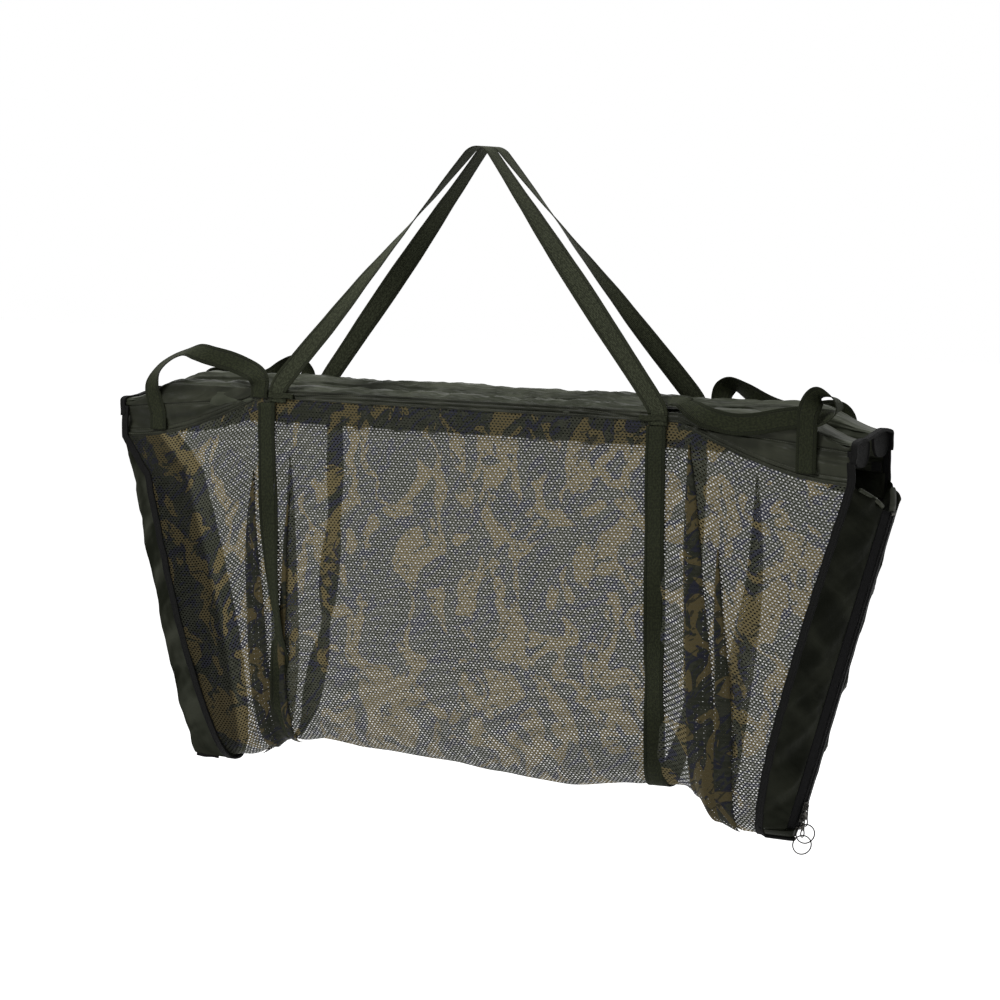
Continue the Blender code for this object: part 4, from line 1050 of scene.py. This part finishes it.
HANDLE_RISE, HANDLE_REACH, PATCH_GAP, PATCH_HEIGHT = 0.090, 0.020, 0.0008, 0.024
HANDLE_OUTER_X, HANDLE_INNER_X = BODY_HALF - 0.064, BELT_X + 0.034
HANDLE_OUTER_Z = float(hem_z(HANDLE_OUTER_X)) + 0.0326
HANDLE_INNER_Z = float(hem_z(HANDLE_INNER_X)) + 0.0027
HANDLE_SLOPE = (HANDLE_INNER_Z - HANDLE_OUTER_Z) / (HANDLE_OUTER_X - HANDLE_INNER_X)
HANDLE_AXIS_Z = HANDLE_OUTER_Z - HANDLE_SLOPE * STRAP_WIDTH / 2 - 0.0002

# Rows of the carry handles: along from the outer to the inner end, rise, reach over the sleeve
# and turn of the webbing, as shares of their named sizes
FRONT_LEFT_SHARES = np.array([
    (0.00, 0.00, 0.00, 0.00), (-0.04, 0.29, -0.05, 0.00), (-0.04, 0.51, -0.25, 0.15),
    (0.01, 0.74, -0.10, 0.50), (0.12, 0.89, 0.10, 0.70), (0.27, 0.96, 0.20, 0.75),
    (0.38, 0.92, 0.25, 0.40), (0.51, 0.82, 0.25, 0.12), (0.70, 0.68, 0.20, 0.10),
    (0.85, 0.53, 0.18, 0.25), (0.95, 0.41, 0.12, 0.40), (1.00, 0.27, 0.04, 0.20),
    (1.00, 0.13, 0.00, 0.00), (1.00, 0.00, 0.00, 0.00)])
FRONT_RIGHT_SHARES = np.array([
    (0.00, 0.00, 0.00, 0.00), (-0.01, 0.36, -0.20, 0.00), (-0.03, 0.66, -0.45, 0.10),
    (-0.09, 0.94, -0.10, 0.60), (-0.20, 0.90, 0.30, 0.90), (-0.22, 0.74, 0.35, 0.90),
    (-0.10, 0.60, 0.15, 0.45), (0.05, 0.53, 0.00, 0.08), (0.22, 0.41, -0.05, 0.00),
    (0.38, 0.28, -0.05, 0.00), (0.54, 0.19, -0.05, 0.00), (0.68, 0.17, -0.05, 0.00),
    (0.81, 0.19, -0.03, 0.18), (0.91, 0.25, 0.04, 0.48), (0.98, 0.31, 0.14, 0.72)])
BACK_SHARES = np.array([
    (0.00, 0.00, 0.00, 0.00), (-0.01, 0.24, -0.12, 0.00), (-0.01, 0.42, -0.30, 0.10),
    (0.03, 0.54, -0.45, 0.30), (0.10, 0.55, -0.45, 0.35), (0.19, 0.48, -0.35, 0.20),
    (0.32, 0.38, -0.20, 0.08), (0.48, 0.33, -0.15, 0.00), (0.64, 0.37, -0.15, 0.05),
    (0.79, 0.50, -0.10, 0.35), (0.90, 0.56, -0.05, 0.50), (0.97, 0.46, -0.05, 0.30),
    (1.00, 0.32, -0.08, 0.08), (1.00, 0.16, -0.04, 0.00), (1.00, 0.00, 0.00, 0.00)])


def between(rows, step):
    """Rows joined by a smooth curve (Catmull-Rom), step pieces to a row."""
    index = np.arange(len(rows) - 1)
    a, b, c, d = (rows[np.clip(index + n, 0, len(rows) - 1)][:, None] for n in (-1, 0, 1, 2))
    t = (np.arange(step) / step)[None, :, None]
    made = 0.5 * (2 * b + (c - a) * t + (2 * a - 5 * b + 4 * c - d) * t * t
                  + (3 * b - a - 3 * c + d) * t ** 3)
    return np.concatenate([made.reshape(-1, rows.shape[1]), rows[-1:]])


def carry_handle(word, end_word, side, end, rows):
    """Webbing handle: sewn down on the band at its outer end, then free, then sewn again."""
    shares = between(rows, 12)
    outer = np.array([end * HANDLE_OUTER_X, side * WEB_Y, HANDLE_OUTER_Z])
    inner = np.array([end * HANDLE_INNER_X, side * WEB_Y, HANDLE_INNER_Z])
    free = outer + (inner - outer) * shares[:, :1]
    free += shares[:, 2:3] * (0, -side * HANDLE_REACH, 0) + shares[:, 1:2] * (0, 0, HANDLE_RISE)
    low = HANDLE_OUTER_Z - PATCH_GAP - PATCH_HEIGHT
    sewn = grid(outer[0], outer[1], np.linspace(low, HANDLE_OUTER_Z, 13)[:-1])
    path = np.concatenate([sewn, free])
    along = heading(path)
    along[:13] = (0, 0, 1)
    flat = unit(np.cross(along, (0, 1, 0)))
    turn = np.pi / 2 * np.concatenate([np.zeros(12), shares[:, 3]])[:, None]
    tilt = unit(np.cross(along, flat))
    width = flat * np.cos(turn) + tilt * np.sin(turn) * -end * side
    made = strap("%s_%s_carry_strap" % (word, end_word), path, np.cross(width, along),
                 STRAP_WIDTH, WEBBING, OLIVE_WEB, body=None)
    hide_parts("%s_%s_handle" % (word, end_word), "%s_%s_handle_patch" % (word, end_word))
    up = np.array([end * HANDLE_SLOPE, 0, 1]) / math.hypot(HANDLE_SLOPE, 1)
    axis = np.array([end * HANDLE_OUTER_X, side * WEB_Y, HANDLE_AXIS_Z])
    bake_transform(made)


HANDLE_ROWS = {(FRONT, LEFT): FRONT_LEFT_SHARES, (FRONT, RIGHT): FRONT_RIGHT_SHARES,
               (BACK, LEFT): BACK_SHARES, (BACK, RIGHT): BACK_SHARES}
for end, end_word in ENDS:
    belt(end_word, end)
for side, word in SIDES:
    weigh_loop(word, side)
    for end, end_word in ENDS:
        tack(word, end_word, side, end)
        carry_handle(word, end_word, side, end, HANDLE_ROWS[side, end])


TAIL_KNOTS = np.array([(0.3550, -0.0590, -0.3450), (0.3470, -0.0560, -0.3420),
                       (0.3340, -0.0490, -0.3425), (0.3180, -0.0455, -0.3450),
                       (0.3040, -0.0440, -0.3465), (0.2930, -0.0430, -0.3475)])


def handle_tail():
    """Last of the front right handle, running up behind the weigh loop it is sewn with."""
    path = between(TAIL_KNOTS, 8)
    strap("front_right_tail", path, (0, -0.45, 0.90), STRAP_WIDTH - 0.002, WEBBING, OLIVE_WEB)


handle_tail()


def tongue():
    """Flap of nylon over the zip's top, drawn lighter than the gusset, its corners rounded and its
    end curled out.
    """
    share = np.linspace(0, 1, 25)[:, None]
    half = TONGUE_HALF * np.sqrt(np.clip(1 - np.clip((share - 0.78) / 0.235, 0, 1) ** 2.4, 0.05, 1))
    across = half * np.linspace(-1, 1, 13)[None, :]
    z = ZIP_TOP_Z + GAP + TONGUE_LENGTH * share
    curl = TONGUE_CURL * share ** 1.5 + 0.0010 * (across / TONGUE_HALF) ** 2
    points = crest(z, -curl, across)
    made = skin("tongue", points, TONGUE_NYLON, "sling", across, z, OUT_OF_ZIP, wall=0.0016)
    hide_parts("zip_tongue")


tongue()


def split_ring(word):
    """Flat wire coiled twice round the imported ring's own circle: a low helix of two turns."""
    packed = bpy.data.objects[word + "_split_ring"].data.vertices
    spots = np.empty(3 * len(packed))
    packed.foreach_get("co", spots)
    spots = spots.reshape(-1, 3)
    middle = (spots.min(0) + spots.max(0)) / 2
    a, b, axis = np.linalg.svd(spots - middle, full_matrices=False)[2]
    reach = np.hypot((spots - middle) @ a, (spots - middle) @ b)
    radius = (reach.min() + reach.max()) / 2
    turn = np.linspace(0, 4 * np.pi, 161)[:, None]
    rise = RING_WIRE / 2 * (turn / (2 * np.pi) - 1)
    path = middle + radius * (a * np.cos(turn) + b * np.sin(turn)) + axis * rise
    made = strap(word + "_ring_wire", path, axis, RING_WIDTH, RING_WIRE * 0.94, BRIGHT,
                 body=word + "_ring")
    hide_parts(word + "_split_ring")


for word in ("lower", "upper"):
    split_ring(word)

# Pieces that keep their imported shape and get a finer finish
for node, finish in (("zip_top_stop", GUNMETAL), ("zip_bottom_stop", GUNMETAL),
                     ("lower_slider", GUNMETAL), ("upper_slider", GUNMETAL),
                     ("lower_pull_tab", GUNMETAL), ("upper_pull_tab", GUNMETAL),
                     ("bare_label", LABEL_CLOTH)):
    for kept_slot in bpy.data.objects[node].material_slots:
        kept_slot.material = finish.made


# Floor, light and camera
def seen(finish):
    """1 for rays of the camera, of a shine or through glass, 0 for those that only bring light."""
    camera, shine, through = (finish.node("ShaderNodeLightPath", output="Is %s Ray" % kind)
                              for kind in ("Camera", "Glossy", "Transmission"))
    return camera + shine + through


def set_stage():
    """Pale floor under the hanging sling, white behind it, one big soft lamp and even sky."""
    bpy.ops.mesh.primitive_plane_add(size=40, location=(0, 0, -1.35))
    floor = bpy.context.object
    floor.name = "floor"
    pale = Finish("pale_floor", Roughness=0.9, Specular_IOR_Level=0.1, Emission_Strength=1.0,
                  Base_Color=(0.85, 0.85, 0.85, 1))
    pale.feed("Emission Color", seen(pale) * FLOOR_GLOW)
    floor.data.materials.append(pale.made)
    bpy.context.scene.world = bpy.data.worlds.new("studio")
    sky = Finish("sky", world=bpy.context.scene.world, Color=(1, 1, 1, 1))
    sky.feed("Strength", seen(sky) * (1 - SKY_LIGHT) + SKY_LIGHT)
    for name, place, size, power in LAMPS:
        lamp = bpy.data.lights.new(name, "AREA")
        lamp.shape, lamp.size, lamp.energy = "DISK", size, power
        stand = bpy.data.objects.new(name, lamp)
        bpy.context.scene.collection.objects.link(stand)
        stand.location = place
        aim = Vector((0, 0, -0.6)) - Vector(place)
        stand.rotation_euler = aim.to_track_quat("-Z", "Y").to_euler()


def set_camera():
    """Camera at the photograph's angle, its own X axis level but for a small roll."""
    lens = bpy.data.cameras.new("photo_camera")
    lens.lens, lens.sensor_width = LENS, 36.0
    lens.clip_start, lens.clip_end = 0.1, 60.0
    camera = bpy.data.objects.new("photo_camera", lens)
    bpy.context.scene.collection.objects.link(camera)
    back = Vector((math.sin(AZIMUTH) * math.cos(ELEVATION), -math.cos(AZIMUTH) *
                   math.cos(ELEVATION), math.sin(ELEVATION)))
    right = Vector((math.cos(AZIMUTH), math.sin(AZIMUTH), 0))
    up = back.cross(right)
    x = right * math.cos(ROLL) - up * math.sin(ROLL)
    y = right * math.sin(ROLL) + up * math.cos(ROLL)
    turn = Matrix((x, y, back)).transposed()
    camera.matrix_world = Matrix.Translation(Vector(LOOK_AT) + back * DISTANCE) @ turn.to_4x4()
    bpy.context.scene.camera = camera


set_stage()
set_camera()
bpy.context.scene.view_settings.view_transform = "Standard"
